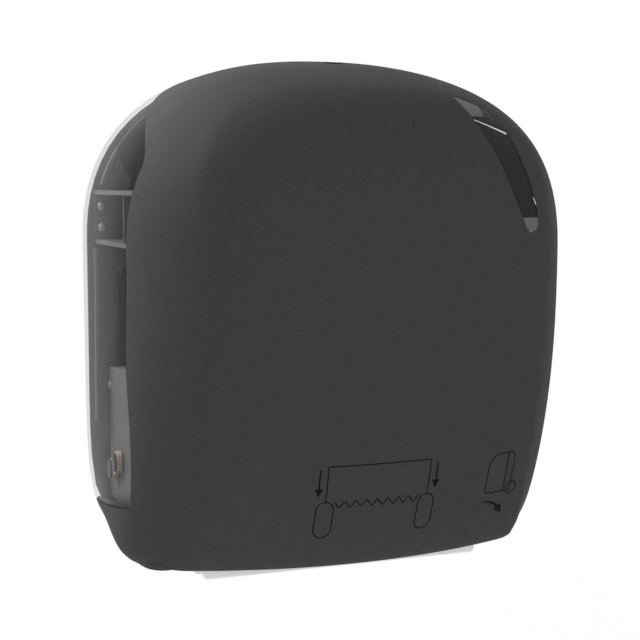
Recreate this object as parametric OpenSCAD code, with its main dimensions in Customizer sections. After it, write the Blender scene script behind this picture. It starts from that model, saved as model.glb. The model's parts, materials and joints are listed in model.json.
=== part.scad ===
// Roll towel dispenser that cuts each towel as it is pulled.
// X runs to the right, Y runs into the wall, heights are above the underside of the exit.

/* [Cover] */
// Width of the cover at the wall
body_w = 331; // [325:1:345]
// Depth of the cover from the wall
body_d = 221; // [216:1:240]
// Height from the underside of the exit to the top
body_h = 371; // [371:1:385]
// Height of the top above the dome's widest level
dome_rise = 137; // [133:1:141]
// Wall of the opaque skin
skin_t = 2.6; // [2:0.1:3.2]
// Wall of the clear windows
pane_t = 2.6; // [2:0.1:3]
// Gap between fitted cover pieces
seat_gap = 0.3; // [0.2:0.05:0.4]

/* [Cover shape] */
// Height of the rim's lower edge
rim_low = 4; // [2:0.5:8]
// How far the front's outline stays inside the rim at each side
front_draw = 3.1; // [2.1:0.1:5.5]
// Height of the front outline's lower edge
front_low = 2.8; // [1:0.1:5]
// Squareness of the upper outline
top_square = 2.37; // [2.25:0.01:2.6]
// Squareness of the rim's lower corners
rim_square = 8.4; // [7.4:0.2:10]
// Squareness of the front's lower corners
front_square = 16.6; // [13:0.2:20]
// Squareness of the side edges
side_edge = 5.9; // [5:0.1:7]
// Squareness of the top edge
top_edge = 3.1; // [2.8:0.1:3.5]
// Squareness of the lower edge
low_edge = 7.9; // [7:0.1:9]
// How far the front falls back from the middle to the sides
front_sag = 20.5; // [15:0.5:25]
// Extra fall to the sides at the bottom
low_sag = 28; // [22:1:34]
// How far the front leans back at the bottom
low_lean = 53.2; // [48:0.2:58]
// Distance from the cover's side to the chin
chin_side = 33.5; // [31.5:0.5:38.5]
// Height of the chin's lower line
chin_low = 9.6; // [8:0.1:12]
// Squareness of the chin's edge
chin_square = 14; // [12:1:18]
// Where the chin is cut off, as an edge angle
chin_cut = 43.5; // [42.5:0.1:44.5]
// Width of the step beside the chin, as an angle
chin_step = 2.5; // [2:0.1:3.5]

/* [Windows] */
// Depth of the side windows, as an edge angle
window_turn = 38; // [34:0.5:39]
// Lower end of the side windows, as an angle round the dome
window_low = -48; // [-50:0.5:-44]
// Angle where the upper end starts to narrow
window_narrow = 21; // [18:1:24]
// Angle where the upper end runs out
window_high = 55; // [52:1:58]
// Part of the clear window that goes under the skin, as an edge angle
window_tuck = 3; // [2:0.5:4]
// Radius of the level window's outer curve
slit_r = 135; // [132:1:138]
// Distance from the cover's side to that curve
slit_side = 53.5; // [51.5:0.5:55.5]
// Height of that curve's centre above the dome's widest level
slit_h = 4; // [2:0.5:6]
// Upper end of the level window, as an angle on its curve
slit_top = 50; // [47:1:52]
// Lower end of the level window, as an angle on its curve
slit_low = 9; // [7:0.5:12]
// Radius of the level window's lower end
slit_end_r = 6; // [5:0.5:7]

/* [Wall fixing] */
// Thickness of the back plate
plate_t = 4; // [3:0.5:5]
// Spacing of the wall screws across
fix_dx = 150; // [120:1:170]
// Spacing of the wall screws up the wall
fix_dz = 200; // [180:1:210]
// Diameter of the wall holes
fix_hole_d = 5.5; // [4.5:0.5:6.5]

/* [Lock and hinge] */
// Distance of the lock from the wall
lock_depth = 106; // [100:1:110]
// Radius of the lock barrel
lock_r = 7.5; // [6.5:0.5:8]
// Length of the lock tongue from its axis
tongue_l = 25; // [22:1:27]
// Distance of the cover hinge from the wall
hinge_depth = 12; // [11:0.5:13]
// Height of the cover hinge
hinge_h = 8; // [7.5:0.5:9]
// Radius of the hinge pins
hinge_r = 3; // [2.5:0.5:3.5]

/* [Roll holder] */
// Distance of the roll's axis from the wall
roll_depth = 112; // [108:1:116]
// Height of the roll's axis above the dome's widest level
roll_up = 21; // [18:1:24]
// Distance from the cover's side to the arms' inner faces
arm_room = 47.5; // [45.5:0.5:51.5]
// Sheet thickness of the arms
arm_t = 3; // [2.5:0.5:3.5]
// Height of the arm channel
arm_h = 40; // [36:1:44]
// Reach of the arms past the roll's axis
arm_nose = 16; // [12:1:18]
// Radius of the spigots that the hubs turn on
spigot_r = 6; // [5:0.5:7]
// Radius of the hub flanges
hub_flange_r = 30; // [26:1:34]
// Radius of the hub plugs
hub_r = 19; // [17:0.5:20]
// Length of the hub plugs
hub_l = 14; // [11:1:15]
// Distance of the right arm's pivot outside the arm's inner face
pivot_out = 6; // [4:0.5:8]
// Distance of the right arm's pivot from the wall
pivot_depth = 16; // [15:1:18]
// Radius of the right arm's pivot pin
pivot_r = 3; // [2.5:0.5:3.5]

/* [Cutting drum] */
// Distance of the drum's axis from the wall
drum_depth = 62; // [60:1:64]
// Height of the drum's axis
drum_h = 78; // [76:1:80]
// Radius of the drum
drum_r = 33; // [32:0.5:34]
// Height of the rubber grips over the drum
grip_t = 1; // [0.6:0.1:1.4]
// Gap between the drum's ends and the side frames
drum_gap = 6; // [5:0.5:10]
// Radius of the drum shaft
shaft_r = 5; // [4:0.5:6]
// Distance from the cover's side to the side frames
frame_room = 61.5; // [59.5:0.5:61.5]
// Thickness of the side frames
frame_t = 4; // [3:0.5:4.5]
// Radius of the feed wheel
wheel_r = 38; // [34:1:40]
// Width of the feed wheel
wheel_w = 12; // [10:1:14]
// Radius of the pinch roller
pinch_r = 9; // [8:0.5:10]
// Radius of the pinch roller's shaft
pinch_shaft_r = 3; // [2.5:0.5:3.5]
// Angle of the pinch roller below the drum's axis
pinch_angle = 10; // [6:1:14]
// Distance from the cover's side to the mechanism covers
mech_room = 16.5; // [15.5:0.5:19.5]
// Wall of the mechanism covers
mech_t = 2.4; // [2:0.2:3]

/* [Exit] */
// Distance from the cover's side to the ends of the paper exit
exit_room = 61.5; // [60.5:0.5:63.5]
// Distance of the slot's middle from the wall
slot_depth = 96; // [95:0.5:97]
// Width of the paper slot
slot_w = 16; // [14:1:17]
// Distance of the exit's front edge from the wall
exit_depth = 127; // [124:1:129]
// Wall of the exit piece
exit_t = 2.5; // [2:0.1:3]

/* [Clearances] */
// Running clearance between pins and bores, on the radius
run_gap = 0.05; // [0.03:0.01:0.08]
// Fixed fit between pins and bores, on the radius
fit_gap = 0.01; // [0.01:0.01:0.03]
// Gap between pieces that pass each other
pass_gap = 0.3; // [0.25:0.05:0.5]

/* [Hidden] */
$fn = 48;

skin_grey = [0.05, 0.05, 0.055];
light_grey = [0.62, 0.63, 0.64];
dark_grey = [0.12, 0.12, 0.13];
steel = [0.72, 0.72, 0.74];
smoke = [0.25, 0.25, 0.26, 0.5];
beige = [0.66, 0.6, 0.5];
exit_white = [0.92, 0.92, 0.92];

// Places that follow the cover's width and height
half_w = body_w / 2;
dome_h = body_h - dome_rise;
front_half = half_w - front_draw;
chin_half = half_w - chin_side;
slit_x = half_w - slit_side - slit_r;
roll_h = dome_h + roll_up;
arm_half = half_w - arm_room;
pivot_x = arm_half + pivot_out;
frame_half = half_w - frame_room;
drum_half = frame_half - drum_gap;
mech_half = half_w - mech_room;
exit_half = half_w - exit_room;

// Heights and depths that several pieces share
fix_h = dome_h;
rear_y = 0.8;
drum_out_r = drum_r + grip_t;
pinch_reach = drum_out_r + pinch_r + pass_gap;
pinch_depth = drum_depth + pinch_reach * cos(pinch_angle);
pinch_h = drum_h - pinch_reach * sin(pinch_angle);
frame_low = 24;
frame_out = frame_half + frame_t;

// Outline radius at one angle round the dome
function outline(a, half, up, down, low_n) =
    let(n = a > 0 ? top_square : low_n, b = a > 0 ? up : down)
    1 / pow(pow(abs(cos(a)) / half, n) + pow(abs(sin(a)) / b, n), 1 / n);

chin_angle = -atan2(dome_h - chin_low, chin_half);
corner_angle = chin_angle + chin_step;
function in_chin(a) = a < (chin_angle + corner_angle) / 2;
function rim_r(a) = outline(a, half_w, dome_rise, dome_h - rim_low, rim_square);
function front_r(a) = outline(a, front_half, dome_rise, dome_h - front_low, front_square);
function chin_r(a) = (dome_h - chin_low) / abs(sin(a));

// Depth of the front face at a place on it
function front_depth(x, h) =
    let(low = max(0, (dome_h - h) / dome_h), side = pow(x / half_w, 2))
    body_d - (front_sag + low_sag * low * low) * side - low_lean * low * low;

function edge_square(a) =
    in_chin(a) ? chin_square
    : a > 0 ? side_edge + (top_edge - side_edge) * (1 - pow(cos(a), 3))
    : side_edge + (low_edge - side_edge) * pow(sin(a), 2);

// Point of the right half of the dome: a goes round, t goes from the wall (0) to the front (90)
function dome(a, t, inset) =
    let(m = edge_square(a),
        den = pow(pow(cos(t), m) + pow(sin(t), m), 1 / m),
        rho = cos(t) / den, q = sin(t) / den, k = q * q * (3 - 2 * q),
        r = in_chin(a) ? chin_r(a) : rim_r(a) + (front_r(a) - rim_r(a)) * k,
        x = r * rho * cos(a), h = dome_h + r * rho * sin(a),
        s = (r - inset) / r,
        y = (front_depth(x, h) - inset) * q)
    [x * s, -y, dome_h + (h - dome_h) * s];
function mirrored(p, side) = [side * p[0], p[1], p[2]];

function smooth(u) = let(v = min(1, max(0, u))) v * v * (3 - 2 * v);
function rear_turn(a) = asin(rear_y / front_depth(rim_r(a) * cos(a), dome_h + rim_r(a) * sin(a)));
function window_edge(a) = window_turn * smooth((window_high - a) / (window_high - window_narrow));
function has_window(a) = a > window_low - 0.5 && window_edge(a) > rear_turn(a);
function skin_edge(a) =
    in_chin(a) ? chin_cut
    : has_window(a) ? window_edge(a)
    : rear_turn(a);

// Angles round one half of the cover, with both sides of each step
function spread(a, b, n) = [for (i = [0:n]) a + (b - a) * i / n];
corner_rows = spread(corner_angle, window_low - 1, 3);
half_angles = concat(
    spread(-90, chin_angle, 8),
    corner_rows,
    spread(window_low, window_narrow, 14),
    [for (i = [1:9]) window_narrow + (window_high - window_narrow) * i / 9],
    [for (i = [1:6]) window_high + (90 - window_high) * i / 6]);
last_half = len(half_angles) - 1;
// One round of [angle, side], right half first
round_trip = concat(
    [for (i = [0:last_half]) [half_angles[i], 1]],
    [for (i = [last_half - 1:-1:1]) [half_angles[i], -1]]);

bend_turn = 46;
bend_steps = 6;
front_turns = [49, 52.5, 57, 63, 70, 78, 85];
skin_cols = bend_steps + 1 + len(front_turns);
function skin_turn(a, j) =
    j <= bend_steps
    ? skin_edge(a) + (bend_turn - skin_edge(a)) * (1 - pow(1 - j / bend_steps, 1.5))
    : front_turns[j - bend_steps - 1];

// Two triangles of a grid cell, split the same way on both halves of the cover
function cell(a, b, right) =
    right ? [[a, a + 1, b + 1], [a, b + 1, b]] : [[a, a + 1, b], [b, a + 1, b + 1]];
function turned(faces) = [for (f = faces) [f[0], f[2], f[1]]];
function grid_faces(rows, cols, first, flip) = [
    for (i = [0:rows - 1]) for (j = [0:cols - 2])
        let(a = first + i * cols + j, b = first + ((i + 1) % rows) * cols + j,
            faces = cell(a, b, i < last_half))
        each flip ? turned(faces) : faces];

module skin_shell() {
    rows = len(round_trip);
    n = rows * skin_cols;
    outer = [for (k = round_trip) for (j = [0:skin_cols - 1])
        mirrored(dome(k[0], skin_turn(k[0], j), 0), k[1])];
    inner = [for (k = round_trip) for (j = [0:skin_cols - 1])
        mirrored(dome(k[0], skin_turn(k[0], j), skin_t), k[1])];
    poles = [[0, -body_d, dome_h], [0, -body_d + skin_t, dome_h]];
    last = skin_cols - 1;
    polyhedron(concat(outer, inner, poles), concat(
        grid_faces(rows, skin_cols, 0, false),
        grid_faces(rows, skin_cols, n, true),
        [for (i = [0:rows - 1]) let(a = i * skin_cols, b = ((i + 1) % rows) * skin_cols)
            each [[a, b, n + a], [b, n + b, n + a],
                [a + last, 2 * n, b + last], [n + a + last, n + b + last, 2 * n + 1]]]));
}

// End of a loft: triangles from the first half of the section across to its second half
function end_faces(first, cols) = [for (j = [0:floor((cols - 1) / 2) - 1])
    let(p = first + j, q = p + 1, s = first + cols - 1 - j, r = s - 1)
    each q < r ? [[p, q, s], [q, r, s]] : [[p, q, s]]];
// Loft through closed sections of the same length, ends closed
module loft(sections) {
    rows = len(sections);
    cols = len(sections[0]);
    polyhedron([for (s = sections) each s], concat(
        [for (i = [0:rows - 2]) for (j = [0:cols - 1])
            let(a = i * cols + j, b = i * cols + (j + 1) % cols)
            each [[a, b, a + cols], [b, b + cols, a + cols]]],
        turned(end_faces(0, cols)),
        end_faces((rows - 1) * cols, cols)));
}

// Section of a side window: flush pane, web, and a tuck under the skin
pane_angles = concat(
    spread(window_low + 0.15, window_narrow, 14),
    [for (i = [1:9]) window_narrow + (window_high - 6 - window_narrow) * i / 9]);
web_turn = 0.9;
edge_slack = 0.15;
tuck_t = 2;
tuck_gap = 0.45;
function pane_section(a) =
    let(r = rear_turn(a), e = window_edge(a) - edge_slack, f = window_edge(a) + window_tuck,
        low = skin_t + tuck_gap)
    concat(
        [for (t = spread(r, e, 7)) dome(a, t, 0)],
        [for (t = spread(e, f, 3)) dome(a, t, low)],
        [for (t = spread(f, e - web_turn, 3)) dome(a, t, low + tuck_t)],
        [for (t = spread(e - web_turn, r, 6)) dome(a, t, pane_t)]);

module side_window(side) {
    mirror([side < 0 ? 1 : 0, 0, 0])
        color(smoke) loft([for (a = pane_angles) pane_section(a)]);
}
module side_window_left() { side_window(-1); }
module side_window_right() { side_window(1); }

// Edge angle of the dome at a given distance from its middle, found by halving
function turn_at(a, r, lo = 0, hi = 90, n = 24) =
    n == 0 ? (lo + hi) / 2
    : let(mid = (lo + hi) / 2, p = dome(a, mid, 0), d = norm([p[0], p[2] - dome_h]))
        d > r ? turn_at(a, r, mid, hi, n - 1) : turn_at(a, r, lo, mid, n - 1);
function surface_y(x, h) =
    let(a = atan2(h - dome_h, x)) dome(a, turn_at(a, norm([x, h - dome_h])), 0)[1];

// Outline of the level window: outer curve, rounded lower end, straight inner edge to the tip
slit_c = [slit_x, dome_h + slit_h];
end_turn = 165;
function slit_arc(t, r) = slit_c + r * [cos(t), sin(t)];
slit_tip = slit_arc(slit_top, slit_r);
slit_end = slit_arc(slit_low, slit_r - slit_end_r);
function slit_round(t, r) = slit_end + r * [cos(t), sin(t)];
function slit_points(gap) =
    concat(
        [for (t = spread(slit_top - gap, slit_low, 12)) slit_arc(t, slit_r - gap)],
        [for (t = spread(slit_low - 20, slit_low - end_turn, 8)) slit_round(t, slit_end_r - gap)]);
module slit_outline(gap) { polygon(slit_points(gap)); }

module cover_skin() {
    color(skin_grey) difference() {
        skin_shell();
        rotate([90, 0, 0]) linear_extrude(body_d + 5) slit_outline(0);
        translate([0, -lock_depth, lock_low]) cylinder(r = lock_r + run_gap, h = body_h);
    }
}

// Clear plug of the level window, flush with the skin
lens_cols = 5;
function lens_span(outer, inner) =
    [for (j = [0:lens_cols - 1]) outer + (inner - outer) * j / (lens_cols - 1)];
function lens_row(t) =
    let(outer = slit_arc(t, slit_r - seat_gap),
        line = slit_tip + (slit_round(slit_low - end_turn, slit_end_r) - slit_tip)
            * (slit_top - t) / (slit_top - slit_low))
    lens_span(outer, line + unit(outer - line) * seat_gap);
function lens_end_row(u) =
    lens_span(slit_round(slit_low - u * end_turn / 2, slit_end_r - seat_gap),
        slit_round(slit_low - end_turn + u * end_turn / 2, slit_end_r - seat_gap));
module level_window() {
    rows = concat([for (t = spread(slit_top - 1.5, slit_low, 12)) lens_row(t)],
        [for (u = [0.3, 0.6, 0.85]) lens_end_row(u)]);
    color(smoke) loft([for (r = rows) concat(
        [for (p = r) [p[0], surface_y(p[0], p[1]), p[1]]],
        [for (j = [lens_cols - 1:-1:0])
            let(p = r[j]) [p[0], surface_y(p[0], p[1]) + skin_t, p[1]]])]);
}

// Corner rounding for outlines
function unit(v) = v / norm(v);
function corner(p, a, b, r, n = 6) =
    let(u = unit(p - a), v = unit(b - a), half = acos(u * v) / 2,
        c = a + unit(u + v) * r / sin(half), s = a + u * r / tan(half), e = a + v * r / tan(half))
    [for (i = [0:n]) c + r * unit((s - c) * (1 - i / n) + (e - c) * i / n)];
function rounded(points, r) =
    let(n = len(points))
    [for (i = [0:n - 1]) each r[i] > 0
        ? corner(points[(i + n - 1) % n], points[i], points[(i + 1) % n], r[i])
        : [points[i]]];

// Plate outlined in depth and height, standing square to X
module plate_x(x, t) { translate([x, 0, 0]) rotate([90, 0, 90]) linear_extrude(t) children(); }
// Cylinder along X
module rod_x(x0, x1, depth, h, r) {
    translate([x0, -depth, h]) rotate([0, 90, 0]) cylinder(r = r, h = x1 - x0);
}
// Cylinder out from the wall
module rod_y(x, d0, d1, h, r) {
    translate([x, -d0, h]) rotate([90, 0, 0]) cylinder(r = r, h = d1 - d0);
}
// Block given by its corners in x, depth and height
module block(x, d, h) {
    translate([x[0], -d[1], h[0]]) cube([x[1] - x[0], d[1] - d[0], h[1] - h[0]]);
}
module both_sides() {
    children();
    mirror([1, 0, 0]) children();
}

// Back plate, with a ring wall that stops at the left arm
plate_gap = 0.6;
plate_slack = max(pane_t, skin_t) + plate_gap;
ring_edge = 4.3;
ring_t = 2.3;
ring_in = [plate_slack + ring_edge, plate_slack + ring_edge + ring_t];
ring_depth = 13;
ring_room = 4;
function rim_points(inset, list) = [for (k = list)
    [k[1] * (rim_r(k[0]) - inset) * cos(k[0]), dome_h + (rim_r(k[0]) - inset) * sin(k[0])]];
plate_round = concat(
    [for (a = [-90:4.5:90]) [a, 1]],
    [for (a = [85.5:-4.5:-85.5]) [a, -1]]);
ring_half = spread(-40, 90, 26);
ring_round = concat([for (a = ring_half) [a, 1]], [for (i = [25:-1:0]) [ring_half[i], -1]]);
plate_low_side = 30;
boss_r = 9;
boss_t = 3;
fix_places = [for (x = [-1, 1]) for (z = [-1, 1]) [x * fix_dx / 2, fix_h + z * fix_dz / 2]];

module back_plate() {
    color(light_grey) difference() {
        union() {
            rotate([90, 0, 0]) linear_extrude(plate_t) polygon(rim_points(plate_slack, plate_round));
            difference() {
                rotate([90, 0, 0]) linear_extrude(ring_depth) polygon(concat(
                    rim_points(ring_in[0], ring_round),
                    [for (i = [len(ring_round) - 1:-1:0]) rim_points(ring_in[1], ring_round)[i]]));
                block([-body_w, -arm_half], [plate_t, ring_depth + 1],
                    [arm_low - ring_room, arm_top + ring_room]);
            }
            for (p = fix_places) rod_y(p[0], 0, plate_t + boss_t, p[1], boss_r);
        }
        for (p = fix_places) rod_y(p[0], -1, plate_t + boss_t + 1, p[1], fix_hole_d / 2);
        both_sides() block([lug_x[1] + 1, body_w], [-1, plate_t + 1], [-1, plate_low_side]);
        for (p = concat(frame_screw_places, arm_screw_places))
            rod_y(p[0], 1, plate_t + 1, p[1], screw_r + fit_gap);
    }
}

// Screws share one size
screw_r = 1.75;
screw_head_r = 3.6;
screw_head_t = 2.2;
screw_slot = 1;
module screw_y(x, d, h, l) {
    difference() {
        union() {
            rod_y(x, d - l, d, h, screw_r);
            rod_y(x, d, d + screw_head_t, h, screw_head_r);
        }
        block([x - screw_head_r, x + screw_head_r], [d + screw_head_t - screw_slot, d + screw_head_t + 1],
            [h - screw_slot / 2, h + screw_slot / 2]);
    }
}
module screw_x(x, depth, h, l, side) {
    tip = min(side * (x - l), side * x);
    head = min(side * x, side * (x + screw_head_t));
    difference() {
        union() {
            rod_x(tip, tip + l, depth, h, screw_r);
            rod_x(head, head + screw_head_t, depth, h, screw_head_r);
        }
        slot = min(side * (x + screw_head_t - screw_slot), side * (x + screw_head_t + 1));
        block([slot, slot + screw_slot + 1], [depth - screw_head_r, depth + screw_head_r],
            [h - screw_slot / 2, h + screw_slot / 2]);
    }
}
screw_l = 7;

// Hinge of the cover
lug_gap = 1;
lug_w = 9;
lug_x = [frame_out + lug_gap, frame_out + lug_gap + lug_w];
lug_wall = 6;
ear_in = lug_x[1] + pass_gap;
ear_knuckle = 8;
ear_depth = 26;
ear_rear = plate_t + 1.3;
ear_seat = skin_t + 2 * seat_gap;
ear_top_w = 8;
ear_taper = 2;
pin_cap = 1.5;
lug_foot = [3, 20];
function ear_wall(a) = let(p = dome(a, rear_turn(a), ear_seat)) [p[0], p[2]];
module hinge_ear() {
    rows = [for (a = corner_rows) ear_wall(a)];
    wall = [(rows[0] + rows[1]) / 2, rows[1], rows[2]];
    top = wall[len(wall) - 1];
    difference() {
        union() {
            translate([0, -ear_rear, 0]) rotate([90, 0, 0]) linear_extrude(ear_depth - ear_rear)
                polygon(concat(wall, [[top[0] - ear_top_w, top[1]],
                    [ear_in + ear_knuckle - ear_taper, hinge_h + lug_wall],
                    [ear_in, hinge_h + lug_wall], [ear_in, hinge_h], [ear_in + ear_knuckle, hinge_h]]));
            rod_x(ear_in, ear_in + ear_knuckle, hinge_depth, hinge_h, lug_wall);
        }
        rod_x(ear_in - 1, ear_in + ear_knuckle - pin_cap, hinge_depth, hinge_h, hinge_r + fit_gap);
    }
}
module cover_hinge_ears() { color(skin_grey) both_sides() hinge_ear(); }
module cover_hinge_pins() {
    color(steel) both_sides()
        rod_x(lug_x[0] + 1, ear_in + ear_knuckle - pin_cap - seat_gap, hinge_depth, hinge_h, hinge_r);
}
module hinge_lugs() {
    color(light_grey) both_sides() difference() {
        union() {
            rod_x(lug_x[0], lug_x[1], hinge_depth, hinge_h, lug_wall);
            block(lug_x, [plate_t, hinge_depth], [hinge_h, hinge_h + lug_wall]);
            block(lug_x, [plate_t, plate_t + lug_foot[0]], [hinge_h, hinge_h + lug_foot[1]]);
        }
        rod_x(lug_x[0] - 1, lug_x[1] + 1, hinge_depth, hinge_h, hinge_r + run_gap);
    }
}

// Lock in the top of the cover
function top_h(depth, inset, lo = 1, hi = 89, n = 24) =
    n == 0 ? dome(90, (lo + hi) / 2, inset)[2]
    : let(mid = (lo + hi) / 2)
        -dome(90, mid, inset)[1] < depth ? top_h(depth, inset, mid, hi, n - 1)
        : top_h(depth, inset, lo, mid, n - 1);
housing_wall = 4.5;
housing_r = lock_r + housing_wall;
housing_top = top_h(lock_depth + housing_r, skin_t) - seat_gap;
housing_l = 7;
lock_low = housing_top - housing_l;
tongue_t = 2.4;
tongue_w = 10;
tongue_drop = 4.5;
tongue_top = lock_low - tongue_drop;
key_slot = [7, 1.8, 4];
barrel_top = top_h(lock_depth + lock_r, 0) - 0.4;
stem_r = 3.5;
module lock_housing() {
    color(dark_grey) translate([0, -lock_depth, lock_low]) difference() {
        cylinder(r = housing_r, h = housing_l);
        translate([0, 0, -1]) cylinder(r = lock_r + run_gap, h = housing_l + 2);
    }
}
module lock_barrel() {
    color(dark_grey) translate([0, -lock_depth, 0]) difference() {
        union() {
            translate([0, 0, lock_low]) cylinder(r = lock_r, h = barrel_top - lock_low);
            translate([0, 0, tongue_top - tongue_t])
                cylinder(r = stem_r, h = lock_low - tongue_top + tongue_t);
        }
        translate([-key_slot[0] / 2, -key_slot[1] / 2, barrel_top - key_slot[2]]) cube(key_slot + [0, 0, 1]);
    }
}
module lock_tongue() {
    color(steel) translate([0, -lock_depth, tongue_top - tongue_t]) difference() {
        union() {
            cylinder(r = tongue_w / 2, h = tongue_t);
            translate([-tongue_w / 2, 0, 0]) cube([tongue_w, tongue_l - tongue_w / 2, tongue_t]);
            translate([0, tongue_l - tongue_w / 2, 0]) cylinder(r = tongue_w / 2, h = tongue_t);
        }
        translate([0, 0, -1]) cylinder(r = stem_r + fit_gap, h = tongue_t + 2);
    }
}
keeper_x = [housing_r + 1.5, housing_r + 18];
keeper_t = 2.5;
keeper_gap = 1.5;
keeper_top = tongue_top - tongue_t - keeper_gap;
keeper_front = lock_depth + tongue_w / 2 + 4;
keeper_lip = 0.5;
keeper_foot = 22;
module lock_keeper() {
    color(steel) {
        block(keeper_x, [plate_t, keeper_front + keeper_t], [keeper_top - keeper_t, keeper_top]);
        block(keeper_x, [keeper_front, keeper_front + keeper_t], [keeper_top - 1, tongue_top - keeper_lip]);
        block(keeper_x, [plate_t, plate_t + keeper_t], [keeper_top - keeper_foot, keeper_top - 1]);
    }
}

// Roll arms: a web with upper and lower flanges, a foot on the wall plate and a spigot
arm_low = roll_h - arm_h / 2;
arm_top = roll_h + arm_h / 2;
arm_front = roll_depth + arm_nose;
left_flange = [39, 27];
right_flange = 18;
foot_r = 9;
foot_tip = 26.5;
foot_x = arm_half + 20;
rib_depth = 62;
spigot_l = hub_l + 2.5;
clip_t = 1.5;
neck_r = spigot_r - 1.5;
nose_r = 14;
arm_screw_edge = 6;
arm_screw_up = 8;
function nose_outline(rear) = rounded(
    [[-rear, arm_low], [-arm_front, arm_low], [-arm_front, arm_top], [-rear, arm_top]],
    [0, nose_r, nose_r, 0]);
module spigot() {
    rod_x(arm_half - spigot_l - pass_gap, arm_half, roll_depth, roll_h, spigot_r);
    rod_x(arm_half - spigot_l - pass_gap - clip_t - 1, arm_half, roll_depth, roll_h, neck_r);
}
module arm_flange(rear, wide_rear, wide_front, h) {
    translate([0, 0, h]) linear_extrude(arm_t) polygon([
        [arm_half, -rear], [arm_half, -arm_front + nose_r], [arm_half + wide_front, -arm_front + nose_r],
        [arm_half + wide_rear, -rear]]);
}
arm_screw_places = [for (z = [-1, 1])
    [-arm_half - left_flange[0] + arm_screw_edge, roll_h + z * arm_screw_up]];
// Drop-shaped tab that carries the foot up or down the wall plate
module foot_drop(way) {
    base = way > 0 ? arm_top : arm_low;
    side = 0.95 * foot_r;
    translate([foot_x, 0, base + way * (foot_r - 2)]) rotate([90, 0, 0]) translate([0, 0, plate_t]) {
        cylinder(r = foot_r, h = arm_t);
        linear_extrude(arm_t) polygon([[-side, 0], [side, 0], [0, way * (foot_tip - foot_r)]]);
    }
}
module left_roll_arm() {
    color(light_grey) mirror([1, 0, 0]) difference() {
        union() {
            plate_x(arm_half, arm_t) polygon(nose_outline(plate_t));
            arm_flange(plate_t, left_flange[0], left_flange[1], arm_low);
            arm_flange(plate_t, left_flange[0], left_flange[1], arm_top - arm_t);
            block([arm_half, arm_half + left_flange[0]], [plate_t, plate_t + arm_t], [arm_low, arm_top]);
            foot_drop(1);
            foot_drop(-1);
            block([arm_half, arm_half + left_flange[1]], [rib_depth, rib_depth + arm_t], [arm_low, arm_top]);
            spigot();
        }
        for (p = arm_screw_places) rod_y(-p[0], 0, plate_t + arm_t + 1, p[1], screw_r + fit_gap);
    }
}
module arm_screws() {
    color(steel) for (p = arm_screw_places) screw_y(p[0], plate_t + arm_t, p[1], screw_l - 1);
}
hub_flange_t = 2;
hub_taper = 1.5;
clip_rim = 2.5;
module hub(side) {
    x0 = arm_half - pass_gap;
    translate([side * x0, -roll_depth, roll_h]) rotate([0, -side * 90, 0]) rotate_extrude() polygon([
        [spigot_r + run_gap, 0], [hub_flange_r, 0], [hub_flange_r, hub_flange_t], [hub_r, hub_flange_t],
        [hub_r - hub_taper, hub_l], [hub_r - 2 * hub_taper, spigot_l - pass_gap],
        [spigot_r + run_gap, spigot_l - pass_gap]]);
}
module hub_clip(side) {
    x1 = arm_half - spigot_l - pass_gap;
    difference() {
        rod_x(min(side * x1, side * (x1 - clip_t)), max(side * x1, side * (x1 - clip_t)),
            roll_depth, roll_h, spigot_r + clip_rim);
        rod_x(-body_w, body_w, roll_depth, roll_h, neck_r + fit_gap);
    }
}
module left_hub() { color(dark_grey) hub(-1); }
module right_hub() { color(dark_grey) hub(1); }
module left_hub_clip() { color(steel) hub_clip(-1); }
module right_hub_clip() { color(steel) hub_clip(1); }

// Pivot of the right arm
knuckle_r = 7;
knuckle = [arm_low + 7, roll_h + 2];
lug_t = 8;
bracket_low = knuckle[0] - pass_gap;
bracket_top = arm_top - 4;
bracket_half = 12;
bracket_t = 3;
bracket_over = 8;
module right_arm_bracket() {
    color(light_grey) difference() {
        union() {
            block([pivot_x - bracket_half, pivot_x + bracket_half], [plate_t, plate_t + bracket_t],
                [bracket_low - lug_t - bracket_over, bracket_top + lug_t + bracket_over]);
            for (z = [bracket_low - lug_t, bracket_top]) {
                block([pivot_x - knuckle_r, pivot_x + knuckle_r], [plate_t, pivot_depth], [z, z + lug_t]);
                translate([pivot_x, -pivot_depth, z]) cylinder(r = knuckle_r, h = lug_t);
            }
        }
        translate([pivot_x, -pivot_depth, 0]) cylinder(r = pivot_r + fit_gap, h = body_h);
    }
}
module right_arm_pin() {
    color(steel) translate([pivot_x, -pivot_depth, bracket_low - lug_t])
        cylinder(r = pivot_r, h = bracket_top - bracket_low + 2 * lug_t);
}
arm_rear = pivot_depth + 10;
module right_roll_arm() {
    color(light_grey) difference() {
        union() {
            plate_x(arm_half, arm_t) polygon(nose_outline(arm_rear));
            arm_flange(arm_rear, right_flange, right_flange, arm_low);
            arm_flange(arm_rear, right_flange, right_flange, arm_top - arm_t);
            translate([pivot_x, -pivot_depth, knuckle[0]])
                cylinder(r = knuckle_r, h = knuckle[1] - knuckle[0]);
            block([arm_half, pivot_x + 2], [pivot_depth + 2, arm_rear + 8], knuckle);
            spigot();
        }
        translate([pivot_x, -pivot_depth, 0]) cylinder(r = pivot_r + run_gap, h = body_h);
    }
}

// Round wire along points, one unbroken tube
wire_sides = 6;
function tangent(p, i) = unit(p[min(i + 1, len(p) - 1)] - p[max(i - 1, 0)]);
function square_to(v, t) = unit(v - t * (v * t));
function carried(p, first) = [for (i = 0, v = square_to(first, tangent(p, 0)); i < len(p);
    i = i + 1, v = i < len(p) ? square_to(v, tangent(p, i)) : v) v];
module wire(p, r, first) {
    normals = carried(p, first);
    loft([for (i = [0:len(p) - 1]) let(n = normals[i], b = cross(tangent(p, i), n))
        [for (k = [0:wire_sides - 1]) let(t = k * 360 / wire_sides) p[i] + r * (cos(t) * n + sin(t) * b)]]);
}
rings_per_curl = 8;
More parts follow.
